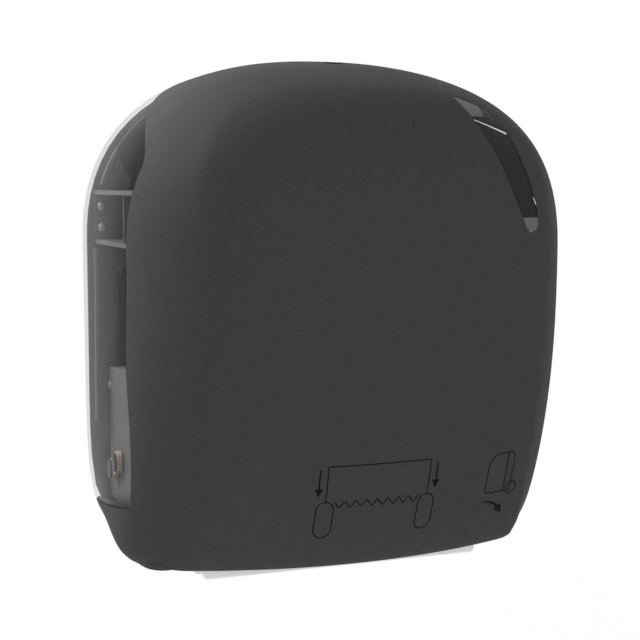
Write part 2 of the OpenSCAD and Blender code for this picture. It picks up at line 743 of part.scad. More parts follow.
// Least gap of a wire to itself, one curl apart or more
function least_gap(p, r) = min([for (i = [0:len(p) - 1 - rings_per_curl / 2])
    for (j = [i + rings_per_curl / 2:len(p) - 1]) norm(p[i] - p[j])]) - 2 * r;

// Torsion spring round the right arm's pivot
torsion_wire_r = 0.7;
torsion_r = pivot_r + torsion_wire_r + 0.8;
torsion_curls = 4;
torsion_low = knuckle[1] + torsion_wire_r + 0.5;
torsion_pitch = (bracket_top - torsion_wire_r - 0.5 - torsion_low) / torsion_curls;
torsion_leg = 9;
function torsion_point(i) = let(a = i * 360 / rings_per_curl)
    [pivot_x + torsion_r * cos(a), -pivot_depth + torsion_r * sin(a),
        torsion_low + torsion_pitch * i / rings_per_curl];
torsion_path = let(n = torsion_curls * rings_per_curl) concat(
    [for (u = [torsion_leg, torsion_leg / 2]) torsion_point(0) + [0, -u, 0]],
    [for (i = [0:n]) torsion_point(i)],
    [for (u = [torsion_leg / 2, torsion_leg - 2]) torsion_point(n) + [0, u, 0]]);
echo(torsion_spring_gap = least_gap(torsion_path, torsion_wire_r));
module right_arm_spring() { color(steel) wire(torsion_path, torsion_wire_r, [1, 0, 0]); }

// Side frames
frame_top = 138;
frame_front = exit_depth - 3;
foot_w = 20;
foot_low = 46;
screw_edge = 12;
frame_screw_h = [foot_low + screw_edge, (foot_low + frame_top) / 2, frame_top - screw_edge];
frame_screw_places = [for (s = [-1, 1]) for (z = frame_screw_h) [s * (frame_out + foot_w / 2 + 2), z]];
bush_r = shaft_r + 4;
pinch_bush_r = pinch_shaft_r + 3;
function frame_outline() = rounded([[-plate_t, frame_low], [-frame_front, frame_low],
    [-frame_front, pinch_h + 26], [-frame_front + 34, frame_top], [-plate_t, frame_top]], [0, 6, 10, 10, 0]);
module side_frame(side) {
    mirror([side < 0 ? 1 : 0, 0, 0]) difference() {
        union() {
            plate_x(frame_half, frame_t) polygon(frame_outline());
            block([frame_half, frame_out + foot_w], [plate_t, plate_t + 3], [foot_low, frame_top]);
        }
        rod_x(0, body_w, drum_depth, drum_h, bush_r + fit_gap);
        rod_x(0, body_w, pinch_depth, pinch_h, pinch_bush_r + fit_gap);
        for (p = frame_screw_places) rod_y(abs(p[0]), 0, plate_t + 4, p[1], screw_r + fit_gap);
        for (p = cover_screw_places) rod_x(0, body_w, p[0], p[1], screw_r + fit_gap);
        if (side < 0) rod_x(0, body_w, post_depth, post_h, post_r + fit_gap);
    }
}
module left_side_frame() { color(light_grey) side_frame(-1); }
module right_side_frame() { color(light_grey) side_frame(1); }
module frame_screws() {
    color(steel) for (p = frame_screw_places) screw_y(p[0], plate_t + 3, p[1], screw_l - 1);
}
flange_t = 1.2;
module drum_bushes() {
    color(beige) both_sides() difference() {
        union() {
            rod_x(frame_half, frame_out, drum_depth, drum_h, bush_r);
            rod_x(frame_half - flange_t, frame_half, drum_depth, drum_h, bush_r + 2.5);
        }
        rod_x(0, body_w, drum_depth, drum_h, shaft_r + run_gap);
    }
}
module pinch_bushes() {
    color(beige) both_sides() difference() {
        union() {
            rod_x(frame_half, frame_out, pinch_depth, pinch_h, pinch_bush_r);
            rod_x(frame_half - flange_t, frame_half, pinch_depth, pinch_h, pinch_bush_r + 1.5);
        }
        rod_x(0, body_w, pinch_depth, pinch_h, pinch_shaft_r + run_gap);
    }
}

// Feed drum, with a slot along its top for the knife
drum_wall = 3;
knife_half = drum_half - 7;
slot_y = [-13, 12];
knife_pivot = [-14, 17];
knife_pin_r = 1.5;
follower_at = [6, 10];
follower_r = 2.5;
follower_arm = norm(follower_at - knife_pivot);
function drum_point(p) = [drum_depth - p[0], drum_h + p[1]];
module drum_shell() {
    color(dark_grey) difference() {
        rod_x(-drum_half, drum_half, drum_depth, drum_h, drum_r);
        rod_x(-drum_half + drum_wall, drum_half - drum_wall, drum_depth, drum_h, drum_r - drum_wall);
        rod_x(-body_w, body_w, drum_depth, drum_h, shaft_r + fit_gap);
        block([-drum_half + drum_wall, drum_half - drum_wall],
            [drum_depth - slot_y[1], drum_depth - slot_y[0]],
            [drum_h + 12, drum_h + drum_r + 1]);
        rod_x(-body_w, body_w, drum_point(knife_pivot)[0], drum_point(knife_pivot)[1], knife_pin_r + fit_gap);
        intersection() {
            difference() {
                rod_x(-drum_half - 1, -drum_half + drum_wall + 1, drum_point(knife_pivot)[0],
                    drum_point(knife_pivot)[1], follower_arm + follower_r + 1);
                rod_x(-drum_half - 2, -drum_half + drum_wall + 2, drum_point(knife_pivot)[0],
                    drum_point(knife_pivot)[1], follower_arm - follower_r - 1);
            }
            block([-body_w, 0], [drum_depth - 14, drum_depth - 0.5], [drum_h + 6, drum_h + 31]);
        }
    }
}
grip_count = 4;
grip_w = 26;
grip_step = 2 * knife_half / grip_count;
grip_x = [for (i = [0:grip_count - 1]) -knife_half + grip_step * (i + 0.5)];
grip_gap_turn = 25;
module drum_grips() {
    color(dark_grey) for (x = grip_x) translate([x - grip_w / 2, -drum_depth, drum_h]) rotate([0, 90, 0])
        rotate([0, 0, 180 + grip_gap_turn]) rotate_extrude(angle = 360 - 2 * grip_gap_turn)
            translate([drum_r + fit_gap, 0]) square([grip_t - fit_gap, grip_w]);
}
shaft_over = 5.5;
shaft_left = mech_half + shaft_over;
shaft_right = frame_out + 5 + wheel_w;
module drum_shaft() {
    color(steel) difference() {
        rod_x(-shaft_left, shaft_right, drum_depth, drum_h, shaft_r);
        rod_x(shaft_right - screw_l, shaft_right + 1, drum_depth, drum_h, screw_r + fit_gap);
    }
}

// Knife on its own pin inside the drum
knife_tip = [12, 23];
blade_t = 1.2;
teeth = 26;
tooth_d = 2;
carrier_t = 4.5;
carrier_boss_r = 4;
knife_dir = unit(knife_tip - knife_pivot);
knife_up = [-knife_dir[1], knife_dir[0]];
module carrier_section(length) {
    p = knife_pivot;
    polygon([p + knife_up * 1, p + knife_dir * length + knife_up * 1,
        p + knife_dir * length - knife_up * (carrier_t - 2), p - knife_up * (carrier_boss_r - 0.5)]);
}
module in_drum(x, t) { translate([x, -drum_depth, drum_h]) rotate([90, 0, 90]) linear_extrude(t) children(); }
blade_back = 5;
knife_l = norm(knife_tip - knife_pivot);
module knife_pin() {
    place = drum_point(knife_pivot);
    color(steel) rod_x(-drum_half, drum_half, place[0], place[1], knife_pin_r);
}
module knife_carrier() {
    color(beige) difference() {
        union() {
            in_drum(-knife_half, 2 * knife_half) carrier_section(knife_l - 5);
            rod_x(-knife_half, knife_half, drum_point(knife_pivot)[0], drum_point(knife_pivot)[1],
                carrier_boss_r);
            in_drum(-knife_half, 6) polygon([knife_pivot + knife_dir * 6, knife_pivot + knife_dir * 20,
                follower_at + [4, 0], follower_at + [-3, -3]]);
        }
        rod_x(-body_w, body_w, drum_point(knife_pivot)[0], drum_point(knife_pivot)[1], knife_pin_r + run_gap);
        rod_x(-knife_half - 1, -knife_half + 4, drum_point(follower_at)[0], drum_point(follower_at)[1],
            follower_r - 1 + fit_gap);
    }
}
// Toothed strip lying on the carrier
module knife_blade() {
    w = 2 * knife_half / teeth;
    base = knife_pivot + knife_dir * blade_back + knife_up * 1;
    reach = knife_l - blade_back;
    color(steel) translate([-knife_half, -drum_depth + base[0], drum_h + base[1]])
        rotate([atan2(knife_dir[1], knife_dir[0]), 0, 0]) linear_extrude(blade_t) polygon(concat(
            [[0, 0]], [for (i = [0:teeth - 1]) each [[i * w, reach - tooth_d], [(i + 0.5) * w, reach]]],
            [[2 * knife_half, reach - tooth_d], [2 * knife_half, 0]]));
}
module knife_follower() {
    out = frame_half - flange_t - 0.8;
    color(dark_grey) {
        rod_x(-knife_half, -knife_half + 3.5, drum_point(follower_at)[0], drum_point(follower_at)[1],
            follower_r - 1);
        rod_x(-out, -knife_half, drum_point(follower_at)[0], drum_point(follower_at)[1], follower_r);
    }
}
// Track plate: a round middle with two lobes that let the knife come out
cam_out_r = 42;
cam_mid_r = 17;
cam_lobe = [15, 33];
module cam_plate() {
    color(light_grey) difference() {
        rod_x(-frame_half, -drum_half - 1.2, drum_depth, drum_h, cam_out_r);
        rod_x(-body_w, 0, drum_depth, drum_h, cam_mid_r);
        block([-body_w, 0], [drum_depth - cam_lobe[0], drum_depth + cam_lobe[0]],
            [drum_h - cam_lobe[1], drum_h + cam_lobe[1]]);
        rod_x(-body_w, 0, pinch_depth, pinch_h, pinch_bush_r + 1.5 + 2 * pass_gap);
        block([-body_w, 0], [-comb_y[1] - pass_gap, -comb_y[0] + pass_gap], [0, comb_h[1] + pass_gap]);
    }
}

// Crank and spring that finish each turn of the drum
crank_x = -frame_out - 9;
crank_t = 4;
crank_r = 24;
crank_pin_at = 18;
crank_pin_r = 3;
post_away = 42;
post_depth = drum_depth + post_away;
post_h = drum_h + post_away;
post_r = 3;
spring_x = crank_x - crank_t - 5;
crank_dir = unit([-(post_depth - drum_depth), post_h - drum_h]);
crank_pin_place = [-drum_depth, drum_h] + crank_dir * crank_pin_at;
module crank_disc() {
    color(dark_grey) difference() {
        rod_x(crank_x - crank_t, crank_x, drum_depth, drum_h, crank_r);
        rod_x(-body_w, 0, drum_depth, drum_h, shaft_r + fit_gap);
        rod_x(-body_w, 0, -crank_pin_place[0], crank_pin_place[1], crank_pin_r - 1 + fit_gap);
    }
}
module crank_pin() {
    color(steel) {
        rod_x(crank_x - crank_t, crank_x, -crank_pin_place[0], crank_pin_place[1], crank_pin_r - 1);
        rod_x(crank_x - crank_t - 9, crank_x - crank_t, -crank_pin_place[0], crank_pin_place[1], crank_pin_r);
    }
}
module spring_post() {
    color(steel) rod_x(crank_x - crank_t - 9, -frame_half, post_depth, post_h, post_r);
}
spring_wire_r = 0.6;
spring_curls = 9;
spring_r = 4.5;
eye_r = crank_pin_r + spring_wire_r + 0.25;
spring_a = [spring_x, crank_pin_place[0], crank_pin_place[1]];
spring_b = [spring_x, -post_depth, post_h];
spring_dir = unit(spring_b - spring_a);
spring_n = cross([1, 0, 0], spring_dir);
spring_lead = 8;
spring_l = norm(spring_b - spring_a) - 2 * spring_lead;
function eye(c, way, side) = [for (t = [300:-30:0])
    c + eye_r * (way * spring_dir * sin(-t) - side * spring_n * cos(t))];
spring_path = concat(
    eye(spring_a, 1, 1),
    [for (i = [0:spring_curls * rings_per_curl]) let(t = i * 360 / rings_per_curl)
        spring_a + spring_dir * (spring_lead + spring_l * i / (spring_curls * rings_per_curl))
            + spring_r * (-spring_n * cos(t) + [1, 0, 0] * sin(t))],
    let(e = eye(spring_b, -1, 1)) [for (i = [len(e) - 1:-1:0]) e[i]]);
echo(return_spring_gap = least_gap(spring_path, spring_wire_r));
module return_spring() { color(steel) wire(spring_path, spring_wire_r, spring_n); }

// Crank arm on the shaft's outer end, seen through the left window
arm_plate = [-mech_half - 0.8 - 4, -mech_half - 0.8];
crank_arm_l = 22;
crank_arm_r = 8;
crank_bar_r = 6.5;
crank_arm_turn = -25;
crank_end = [-drum_depth, drum_h] + crank_arm_l * [cos(crank_arm_turn), sin(crank_arm_turn)];
module crank_arm() {
    color(beige) difference() {
        union() {
            rod_x(arm_plate[0], arm_plate[1], drum_depth, drum_h, crank_arm_r);
            rod_x(arm_plate[0], arm_plate[1], -crank_end[0], crank_end[1], crank_arm_r);
            translate([0, -drum_depth, drum_h]) rotate([crank_arm_turn, 0, 0])
                translate([arm_plate[0], 0, -crank_bar_r])
                    cube([arm_plate[1] - arm_plate[0], crank_arm_l, 2 * crank_bar_r]);
        }
        rod_x(-body_w, 0, drum_depth, drum_h, shaft_r + fit_gap);
    }
}
module crank_caps() {
    color(dark_grey) {
        difference() {
            rod_x(-shaft_left - 1, arm_plate[0], drum_depth, drum_h, crank_arm_r - 1);
            rod_x(-shaft_left, 0, drum_depth, drum_h, shaft_r + fit_gap);
        }
        rod_x(-shaft_left - 1, arm_plate[0], -crank_end[0], crank_end[1], crank_arm_r - 1);
    }
}

// Feed wheel on the shaft's right end
scallops = 18;
scallop_r = 4;
module feed_wheel() {
    x0 = frame_out + 5;
    color(dark_grey) difference() {
        rod_x(x0, x0 + wheel_w, drum_depth, drum_h, wheel_r);
        rod_x(0, body_w, drum_depth, drum_h, shaft_r + fit_gap);
        for (i = [0:scallops - 1]) let(t = i * 360 / scallops)
            rod_x(0, body_w, drum_depth - (wheel_r + 2) * cos(t), drum_h + (wheel_r + 2) * sin(t), scallop_r);
    }
}
module feed_wheel_screw() { color(steel) screw_x(shaft_right, drum_depth, drum_h, screw_l - 1, 1); }

// Pinch roller
module pinch_shaft() {
    color(steel) rod_x(-frame_out, frame_out, pinch_depth, pinch_h, pinch_shaft_r);
}
module pinch_rings() {
    color(dark_grey) for (x = grip_x) difference() {
        rod_x(x - grip_w / 2, x + grip_w / 2, pinch_depth, pinch_h, pinch_r);
        rod_x(-body_w, body_w, pinch_depth, pinch_h, pinch_shaft_r + fit_gap);
    }
}

// Comb that peels the towel off the drum, between the grips
comb_away = [16, 22];
comb_below = [34, 42];
comb_y = [-drum_depth - comb_away[1], -drum_depth - comb_away[0]];
comb_h = [drum_h - comb_below[1], drum_h - comb_below[0]];
comb_tooth_w = 5;
module stripper_comb() {
    tip = [-drum_depth - (drum_r + 1) * cos(45), drum_h - (drum_r + 1) * sin(45)];
    color(dark_grey) {
        block([-frame_half, frame_half], [-comb_y[1], -comb_y[0]], comb_h);
        for (i = [1:grip_count - 1]) plate_x(-knife_half + grip_step * i - comb_tooth_w / 2, comb_tooth_w)
            polygon([[comb_y[0], comb_h[1] - 1], [comb_y[1], comb_h[1] - 1], tip + [2, -1], tip]);
    }
}

// White paper exit under the cover, its floor rising to the front lip
slot_lip = 34;
exit_lip = 13;
exit_rise = 3.5;
exit_corner_r = 4;
flange_w = 6;
flange_out = exit_half + flange_w;
module exit_chute() {
    slot = [slot_depth - slot_w / 2, slot_depth + slot_w / 2];
    rise_from = slot[0] - exit_t;
    color(exit_white) difference() {
        union() {
            plate_x(-exit_half, 2 * exit_half) polygon(rounded([[-plate_t, 0], [-rise_from, 0],
                [-exit_depth, exit_rise],
                [-exit_depth - 1, exit_lip], [-exit_depth - 1 + exit_t, exit_lip],
                [-exit_depth + exit_t, exit_rise + exit_t], [-rise_from, exit_t],
                [-plate_t, exit_t]], [0, 0, 2, 0, 0, 0, 0, 0]));
            block([-exit_half, exit_half], [slot[0] - exit_t, slot[0]], [0, slot_lip]);
            block([-exit_half, exit_half], [slot[1], slot[1] + exit_t], [0, slot_lip]);
            block([-exit_half, exit_half], [plate_t, plate_t + exit_t], [0, frame_low]);
            both_sides() {
                block([exit_half - exit_t, exit_half], [plate_t, exit_depth], [0, frame_low]);
                block([exit_half - exit_t, flange_out], [hinge_depth + 10, exit_depth],
                    [frame_low - exit_t, frame_low]);
            }
        }
        block([-exit_half + exit_t, exit_half - exit_t], slot, [-1, slot_lip + 1]);
        plate_x(-body_w, 2 * body_w) polygon([[-rise_from, 0], [-rise_from, -1], [-exit_depth, -1],
            [-exit_depth, exit_rise]]);
        both_sides() difference() {
            block([exit_half - exit_corner_r, exit_half + 1], [slot[1] + exit_t, exit_depth + 2],
                [0, exit_rise + exit_corner_r]);
            rod_y(exit_half - exit_corner_r, 0, body_d, exit_rise + exit_corner_r, exit_corner_r);
        }
    }
}

// Light covers over both ends of the mechanism
cover_low = 42;
cover_rear_h = 141;
cover_front_h = 153;
cover_rear = 9;
cover_front = frame_front - 4;
cover_screw_places = [[cover_rear + 7, cover_rear_h - 13], [cover_front - 7, cover_front_h - 28]];
function cover_outline(inset) = rounded([[-cover_rear - inset, cover_low - (inset > 0 ? 1 : 0)],
    [-cover_front + inset, cover_low - (inset > 0 ? 1 : 0)], [-cover_front + inset, cover_front_h - inset],
    [-cover_rear - inset, cover_rear_h - inset]], [0, 0, 6, 10 - inset]);
module mechanism_cover(side) {
    mirror([side < 0 ? 1 : 0, 0, 0]) difference() {
        union() {
            difference() {
                plate_x(frame_out + foot_w + 1, mech_half - frame_out - foot_w - 1) polygon(cover_outline(0));
                plate_x(frame_out, mech_half - mech_t - frame_out) polygon(cover_outline(mech_t));
            }
            for (p = cover_screw_places) rod_x(frame_out, mech_half, p[0], p[1], screw_r + 2.2);
        }
        if (side < 0) rod_x(0, body_w, drum_depth, drum_h, shaft_r + 1);
        for (p = cover_screw_places) rod_x(0, body_w, p[0], p[1], screw_r + fit_gap);
    }
}
module left_mechanism_cover() { color(light_grey) mechanism_cover(-1); }
module right_mechanism_cover() { color(light_grey) mechanism_cover(1); }
module mechanism_cover_screws() {
    color(steel) for (s = [-1, 1]) for (p = cover_screw_places)
        screw_x(mech_half, p[0], p[1], mech_half - frame_half, s);
}

// Everything is placed from the middle of the wall screws
module placed() { translate([0, 0, -fix_h]) children(); }

placed() back_plate();
placed() cover_skin();
placed() side_window_left();
placed() side_window_right();
placed() level_window();
placed() cover_hinge_ears();
placed() cover_hinge_pins();
placed() hinge_lugs();
placed() lock_housing();
placed() lock_barrel();
placed() lock_tongue();
placed() lock_keeper();
placed() left_roll_arm();
placed() left_hub();
placed() left_hub_clip();
placed() right_arm_bracket();
placed() right_arm_pin();
placed() right_arm_spring();
placed() right_roll_arm();
placed() right_hub();
placed() right_hub_clip();
placed() left_side_frame();
placed() right_side_frame();
placed() drum_bushes();
placed() drum_shell();
placed() drum_grips();
placed() drum_shaft();
placed() knife_pin();
placed() knife_carrier();
placed() knife_blade();
placed() knife_follower();
placed() cam_plate();
placed() crank_disc();
placed() crank_pin();
placed() return_spring();
placed() spring_post();
placed() crank_arm();
placed() crank_caps();
placed() feed_wheel();
placed() feed_wheel_screw();
placed() pinch_shaft();
placed() pinch_rings();
placed() pinch_bushes();
placed() stripper_comb();
placed() exit_chute();
placed() left_mechanism_cover();
placed() right_mechanism_cover();
placed() frame_screws();
placed() arm_screws();
placed() mechanism_cover_screws();
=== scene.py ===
"""Looks of a wall roll towel dispenser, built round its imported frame.

The file is laid out as an add-on and run as a script. Sizes are metres, and the origin is the
middle of the wall screws: +X to the right, +Y into the wall, +Z up.
"""
import json
import math
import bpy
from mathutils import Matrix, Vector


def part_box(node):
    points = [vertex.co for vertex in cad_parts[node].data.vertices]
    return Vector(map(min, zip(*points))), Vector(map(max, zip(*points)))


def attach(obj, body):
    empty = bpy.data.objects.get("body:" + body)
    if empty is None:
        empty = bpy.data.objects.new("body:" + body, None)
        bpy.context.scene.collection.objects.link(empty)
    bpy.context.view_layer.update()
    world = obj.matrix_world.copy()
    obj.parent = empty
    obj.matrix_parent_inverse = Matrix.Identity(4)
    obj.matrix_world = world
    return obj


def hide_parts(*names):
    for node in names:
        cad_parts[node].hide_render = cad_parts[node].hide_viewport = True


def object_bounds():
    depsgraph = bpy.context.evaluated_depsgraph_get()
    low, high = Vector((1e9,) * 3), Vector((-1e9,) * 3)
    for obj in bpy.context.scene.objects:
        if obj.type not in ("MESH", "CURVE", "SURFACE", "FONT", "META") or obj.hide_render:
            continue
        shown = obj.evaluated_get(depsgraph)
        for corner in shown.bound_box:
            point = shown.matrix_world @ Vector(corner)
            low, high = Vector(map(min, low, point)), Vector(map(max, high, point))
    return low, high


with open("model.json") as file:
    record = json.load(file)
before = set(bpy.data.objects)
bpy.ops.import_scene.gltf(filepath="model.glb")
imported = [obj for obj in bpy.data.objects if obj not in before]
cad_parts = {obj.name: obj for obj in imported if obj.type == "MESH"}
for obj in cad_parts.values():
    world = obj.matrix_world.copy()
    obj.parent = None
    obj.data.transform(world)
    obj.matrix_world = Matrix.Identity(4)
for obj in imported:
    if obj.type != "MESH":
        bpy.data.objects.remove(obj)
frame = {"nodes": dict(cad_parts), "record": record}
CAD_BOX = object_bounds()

import types

import bmesh
import bpy
import numpy as np
from bpy.props import FloatProperty, FloatVectorProperty, PointerProperty
from mathutils import Matrix, Vector

bl_info = {
    "name": "Roll towel dispenser",
    "version": (1, 0, 0),
    "blender": (4, 5, 0),
    "location": "View3D > Sidebar > Dispenser",
    "description": "Builds the looks of a wall roll towel dispenser round its frame",
    "category": "Object",
}

NODES = frame["nodes"]
SLOT_OF_NODE = {part["node"]: part["material_slot"] for part in frame["record"]["subparts"]}
IMAGE_PIXELS = 640


# Settings that a user would change

def length(name, description, default):
    return FloatProperty(name=name, description=description, default=default, unit="LENGTH", precision=5)


def angle(name, description, degrees):
    return FloatProperty(name=name, description=description, default=math.radians(degrees), subtype="ANGLE")


def number(name, description, default):
    return FloatProperty(name=name, description=description, default=default)


def colour(name, description, default):
    return FloatVectorProperty(name=name, description=description, default=default, size=3,
                               min=0.0, max=1.0, subtype="COLOR")


class CoverShape(bpy.types.PropertyGroup):
    """Sizes of the domed cover and of its windows"""
    half_width: length("Half width", "Half the cover's width at the wall", CAD_BOX[1][0])
    depth: length("Depth", "Depth of the cover from the wall", -CAD_BOX[0][1])
    rise: length("Rise", "Height of the top above the widest level", CAD_BOX[1][2])
    drop: length("Drop", "Depth of the underside below the widest level", -CAD_BOX[0][2])
    rim_drop: length("Rim drop", "Depth of the rim's lower edge below the widest level", 0.230)
    front_half: length("Front half width", "Half width of the front's outline", 0.1624)
    front_drop: length("Front drop", "Depth of the front's lower edge below the widest level", 0.2312)
    chin_half: length("Chin half width", "Half width of the chin under the front", 0.132)
    chin_drop: length("Chin drop", "Depth of the chin's line below the widest level", 0.2244)
    top_square: number("Top squareness", "Squareness of the upper outline", 2.37)
    rim_square: number("Rim squareness", "Squareness of the rim's lower corners", 8.4)
    front_square: number("Front squareness", "Squareness of the front's lower corners", 16.6)
    side_edge: number("Side edge", "Squareness of the side edges", 5.9)
    top_edge: number("Top edge", "Squareness of the top edge", 3.1)
    low_edge: number("Low edge", "Squareness of the lower edge", 7.9)
    chin_square: number("Chin squareness", "Squareness of the chin's edge", 14.0)
    front_sag: length("Front sag", "Fall of the front from the middle to the sides", 0.0205)
    low_sag: length("Low sag", "Extra fall to the sides at the bottom", 0.028)
    low_lean: length("Low lean", "How far the front leans back at the bottom", 0.0532)
    skin: length("Skin", "Wall of the opaque skin", 0.0026)
    rear: length("Rear gap", "Gap between the cover and the wall", 0.0008)
    chin_cut: angle("Chin cut", "Edge angle where the chin is cut off", 43.5)
    chin_step: angle("Chin step", "Angle over which the side turns into the chin", 2.5)
    window_turn: angle("Window turn", "Edge angle where the side windows end", 38.0)
    window_flare: angle("Window flare", "How much further the side windows reach at their lower end", 3.5)
    window_low: angle("Window low", "Lower end of the side windows", -48.0)
    window_narrow: angle("Window narrow", "Where the side windows start to narrow", 21.0)
    window_high: angle("Window high", "Upper end of the side windows", 55.0)
    window_tuck: angle("Window tuck", "Part of a side window that goes under the skin", 3.0)
    window_lean: angle("Window lean", "How far a side window's lower edge drops towards the wall", 3.0)
    window_corner: angle("Window corner", "How far a side window's lower front corner drops", 0.9)
    crease_x: length("Crease place", "Place of the soft crease to each side of the front", 0.121)
    crease_rise: length("Crease rise", "Height of the soft crease over the middle of the front", 0.110)
    crease_round: number("Crease squareness", "Squareness of the crease's upper corners", 3.3)
    crease_soft: length("Crease softness", "Width over which the crease turns", 0.0008)
    crease_slope: number("Crease slope", "Extra slope of the front outside the crease", 0.42)
    chin_blend: angle("Chin blend", "Angle over which the front beside the chin takes its squareness", 8.0)
    slit_radius: length("Slit radius", "Radius of the level window's outer curve", 0.135)
    slit_x: length("Slit place", "Place of that curve's centre across the front", -0.023)
    slit_rise: length("Slit rise", "Height of that curve's centre", 0.004)
    slit_top: angle("Slit top", "Upper end of the level window on its curve", 50.65)
    slit_low: angle("Slit low", "Lower end of the level window on its curve", 7.0)
    slit_corner: angle("Slit corner", "Upper corner of the level window on its curve", 41.0)
    slit_bow: length("Slit bow", "How far that corner stands out from the curve", 0.005)
    slit_pull: length("Slit pull", "How far the upper end is drawn in from the curve", 0.0043)
    slit_end: length("Slit end", "Radius of the level window's lower end", 0.006)


class Colours(bpy.types.PropertyGroup):
    """Colours of the dispenser's finishes"""
    charcoal: colour("Charcoal", "Grained skin of the cover", (0.058, 0.058, 0.0585))
    smoke: colour("Smoke", "Smoked clear windows", (0.030, 0.030, 0.032))
    light: colour("Light grey", "Roll arms, frames and mechanism covers", (0.155, 0.155, 0.155))
    # Painted shade: the back plate's middle and rear take this darker tone for the shade inside the cover,
    # and the sides of its ring keep the light grey
    wall_plate_painted_shade: colour("Wall plate", "Back plate, apart from the sides of its ring", (0.025, 0.025, 0.026))
    dark: colour("Dark grey", "Hubs, drum and wheels", (0.035, 0.035, 0.037))
    beige: colour("Beige", "Bushes, crank arm and knife carrier", (0.62, 0.53, 0.40))
    white: colour("White", "Paper exit", (0.92, 0.92, 0.91))
    steel: colour("Steel", "Pins, screws, springs and blade", (0.42, 0.42, 0.43))
    rubber: colour("Rubber", "Grips on the drum and rings on the pinch roller", (0.022, 0.022, 0.023))
    lens: colour("Lens", "Smoked lens of the level window", (0.008, 0.008, 0.0085))
    # Painted light: the lens is made paler at its ends for the lit inside seen through it
    lens_painted_light: colour("Lens ends", "Paler ends of the level window", (0.13, 0.13, 0.13))
    # Painted highlight: pale strips on the level window's edges stand in for the light caught there
    painted_highlight: colour("Gleam", "Bright moulded edges of the level window", (0.85, 0.85, 0.85))
    ink: colour("Ink", "Printed signs", (0.006, 0.006, 0.006))
    floor: colour("Floor", "Floor under the dispenser", (0.86, 0.86, 0.86))


class StageSizes(bpy.types.PropertyGroup):
    """Camera and lights"""
    view_turn: angle("View turn", "Turn of the camera to the left of the front", 19.321)
    view_rise: angle("View rise", "Height of the camera as an angle", 6.146)
    view_distance: length("View distance", "Distance of the camera from its target", 0.9144)
    view_depth: length("Target depth", "Distance of the target from the wall", 0.1105)
    view_drop: length("Target drop", "Depth of the target below the origin", 0.0485)
    focal_pixels: number("Focal length", "Focal length in pixels of the image", 1261.93)
    axis_x: number("Axis across", "Place of the camera's axis across the image, in pixels", 336.27)
    axis_y: number("Axis down", "Place of the camera's axis down the image, in pixels", 314.86)
    floor_drop: length("Floor drop", "Distance of the floor below the dispenser", 0.22)
    key_power: number("Key power", "Watts of the lamp above and behind the upper left", 30.0)
    side_power: number("Side power", "Watts of the lamp at the left", 1.5)
    front_power: number("Front power", "Watts of the lamp in front", 15.0)
    room_light: number("Room light", "Strength of the light from all round", 0.42)


# Arithmetic that works on plain numbers and on the fields of a node tree

class Field:
    """A number field in a node tree: arithmetic on it adds Math nodes"""

    def __init__(self, tree, socket):
        self.tree = tree
        self.socket = socket

    def math(self, operation, *others):
        values = dict(enumerate((self,) + others))
        node = add_node(self.tree, "ShaderNodeMath", values, operation=operation)
        return Field(self.tree, node.outputs[0])

    def __add__(self, other):
        return self.math("ADD", other)

    def __sub__(self, other):
        return self.math("SUBTRACT", other)

    def __mul__(self, other):
        return self.math("MULTIPLY", other)

    def __truediv__(self, other):
        return self.math("DIVIDE", other)

    def __pow__(self, other):
        return self.math("POWER", other)

    def __rsub__(self, other):
        return self * -1.0 + other

    __radd__ = __add__
    __rmul__ = __mul__


def on_field(operation, plain):
    """Function of one value, as a Math node on a field and as plain numbers elsewhere"""
    def apply(value):
        return value.math(operation) if isinstance(value, Field) else plain(value)
    return apply


cosine = on_field("COSINE", np.cos)
sine = on_field("SINE", np.sin)
size_of = on_field("ABSOLUTE", np.abs)


def above(value):
    """1 where the value is over 0, and 0 elsewhere"""
    if isinstance(value, Field):
        return value.math("GREATER_THAN", 0.0)
    return np.where(value > 0, 1.0, 0.0)


def at_least(value, floor):
    return value.math("MAXIMUM", floor) if isinstance(value, Field) else np.maximum(value, floor)


def mix(a, b, share):
    return a + (b - a) * share


def eased(share):
    """A share that starts and ends gently"""
    return share * share * (3.0 - 2.0 * share)


def smooth(share):
    return eased(np.clip(share, 0.0, 1.0))


# The rule of the domed cover

RULE_SIZES = ("half_width", "depth", "rise", "drop", "rim_drop", "front_half", "front_drop", "chin_drop",
              "top_square", "rim_square", "front_square", "side_edge", "top_edge", "low_edge",
              "chin_square", "front_sag", "low_sag", "low_lean", "crease_x", "crease_rise", "crease_round",
              "crease_soft", "crease_slope")
LEAST_SINE = 0.2  # keeps the chin's line from a division by 0 beside the chin
STEEPEST = math.pi / 2 - 1e-5
HALVINGS = 40


def outline(s, across, up, half, low, low_square):
    """Radius of a squared outline: across and up are the direction's cosine and sine"""
    high = above(up)
    square = mix(low_square, s.top_square, high)
    reach = mix(low, s.rise, high)
    total = (across / half) ** square + (size_of(up) / reach) ** square
    return total ** (square ** -1.0 * -1.0)


def front_depth(s, x, z):
    """Depth of the front from the wall at a place on it"""
    low = at_least(z * -1.0 / s.drop, 0.0)
    fall = low * low
    side = x / s.half_width
    reach = (x / s.crease_x) ** s.crease_round + (at_least(z, 0.0) / s.crease_rise) ** s.crease_round
    past = at_least(reach ** (s.crease_round ** -1.0) - 1.0, 0.0) * s.crease_x
    crease = past * past / (past + s.crease_soft) * s.crease_slope
    return s.depth - (s.front_sag + s.low_sag * fall) * (side * side) - s.low_lean * fall - crease


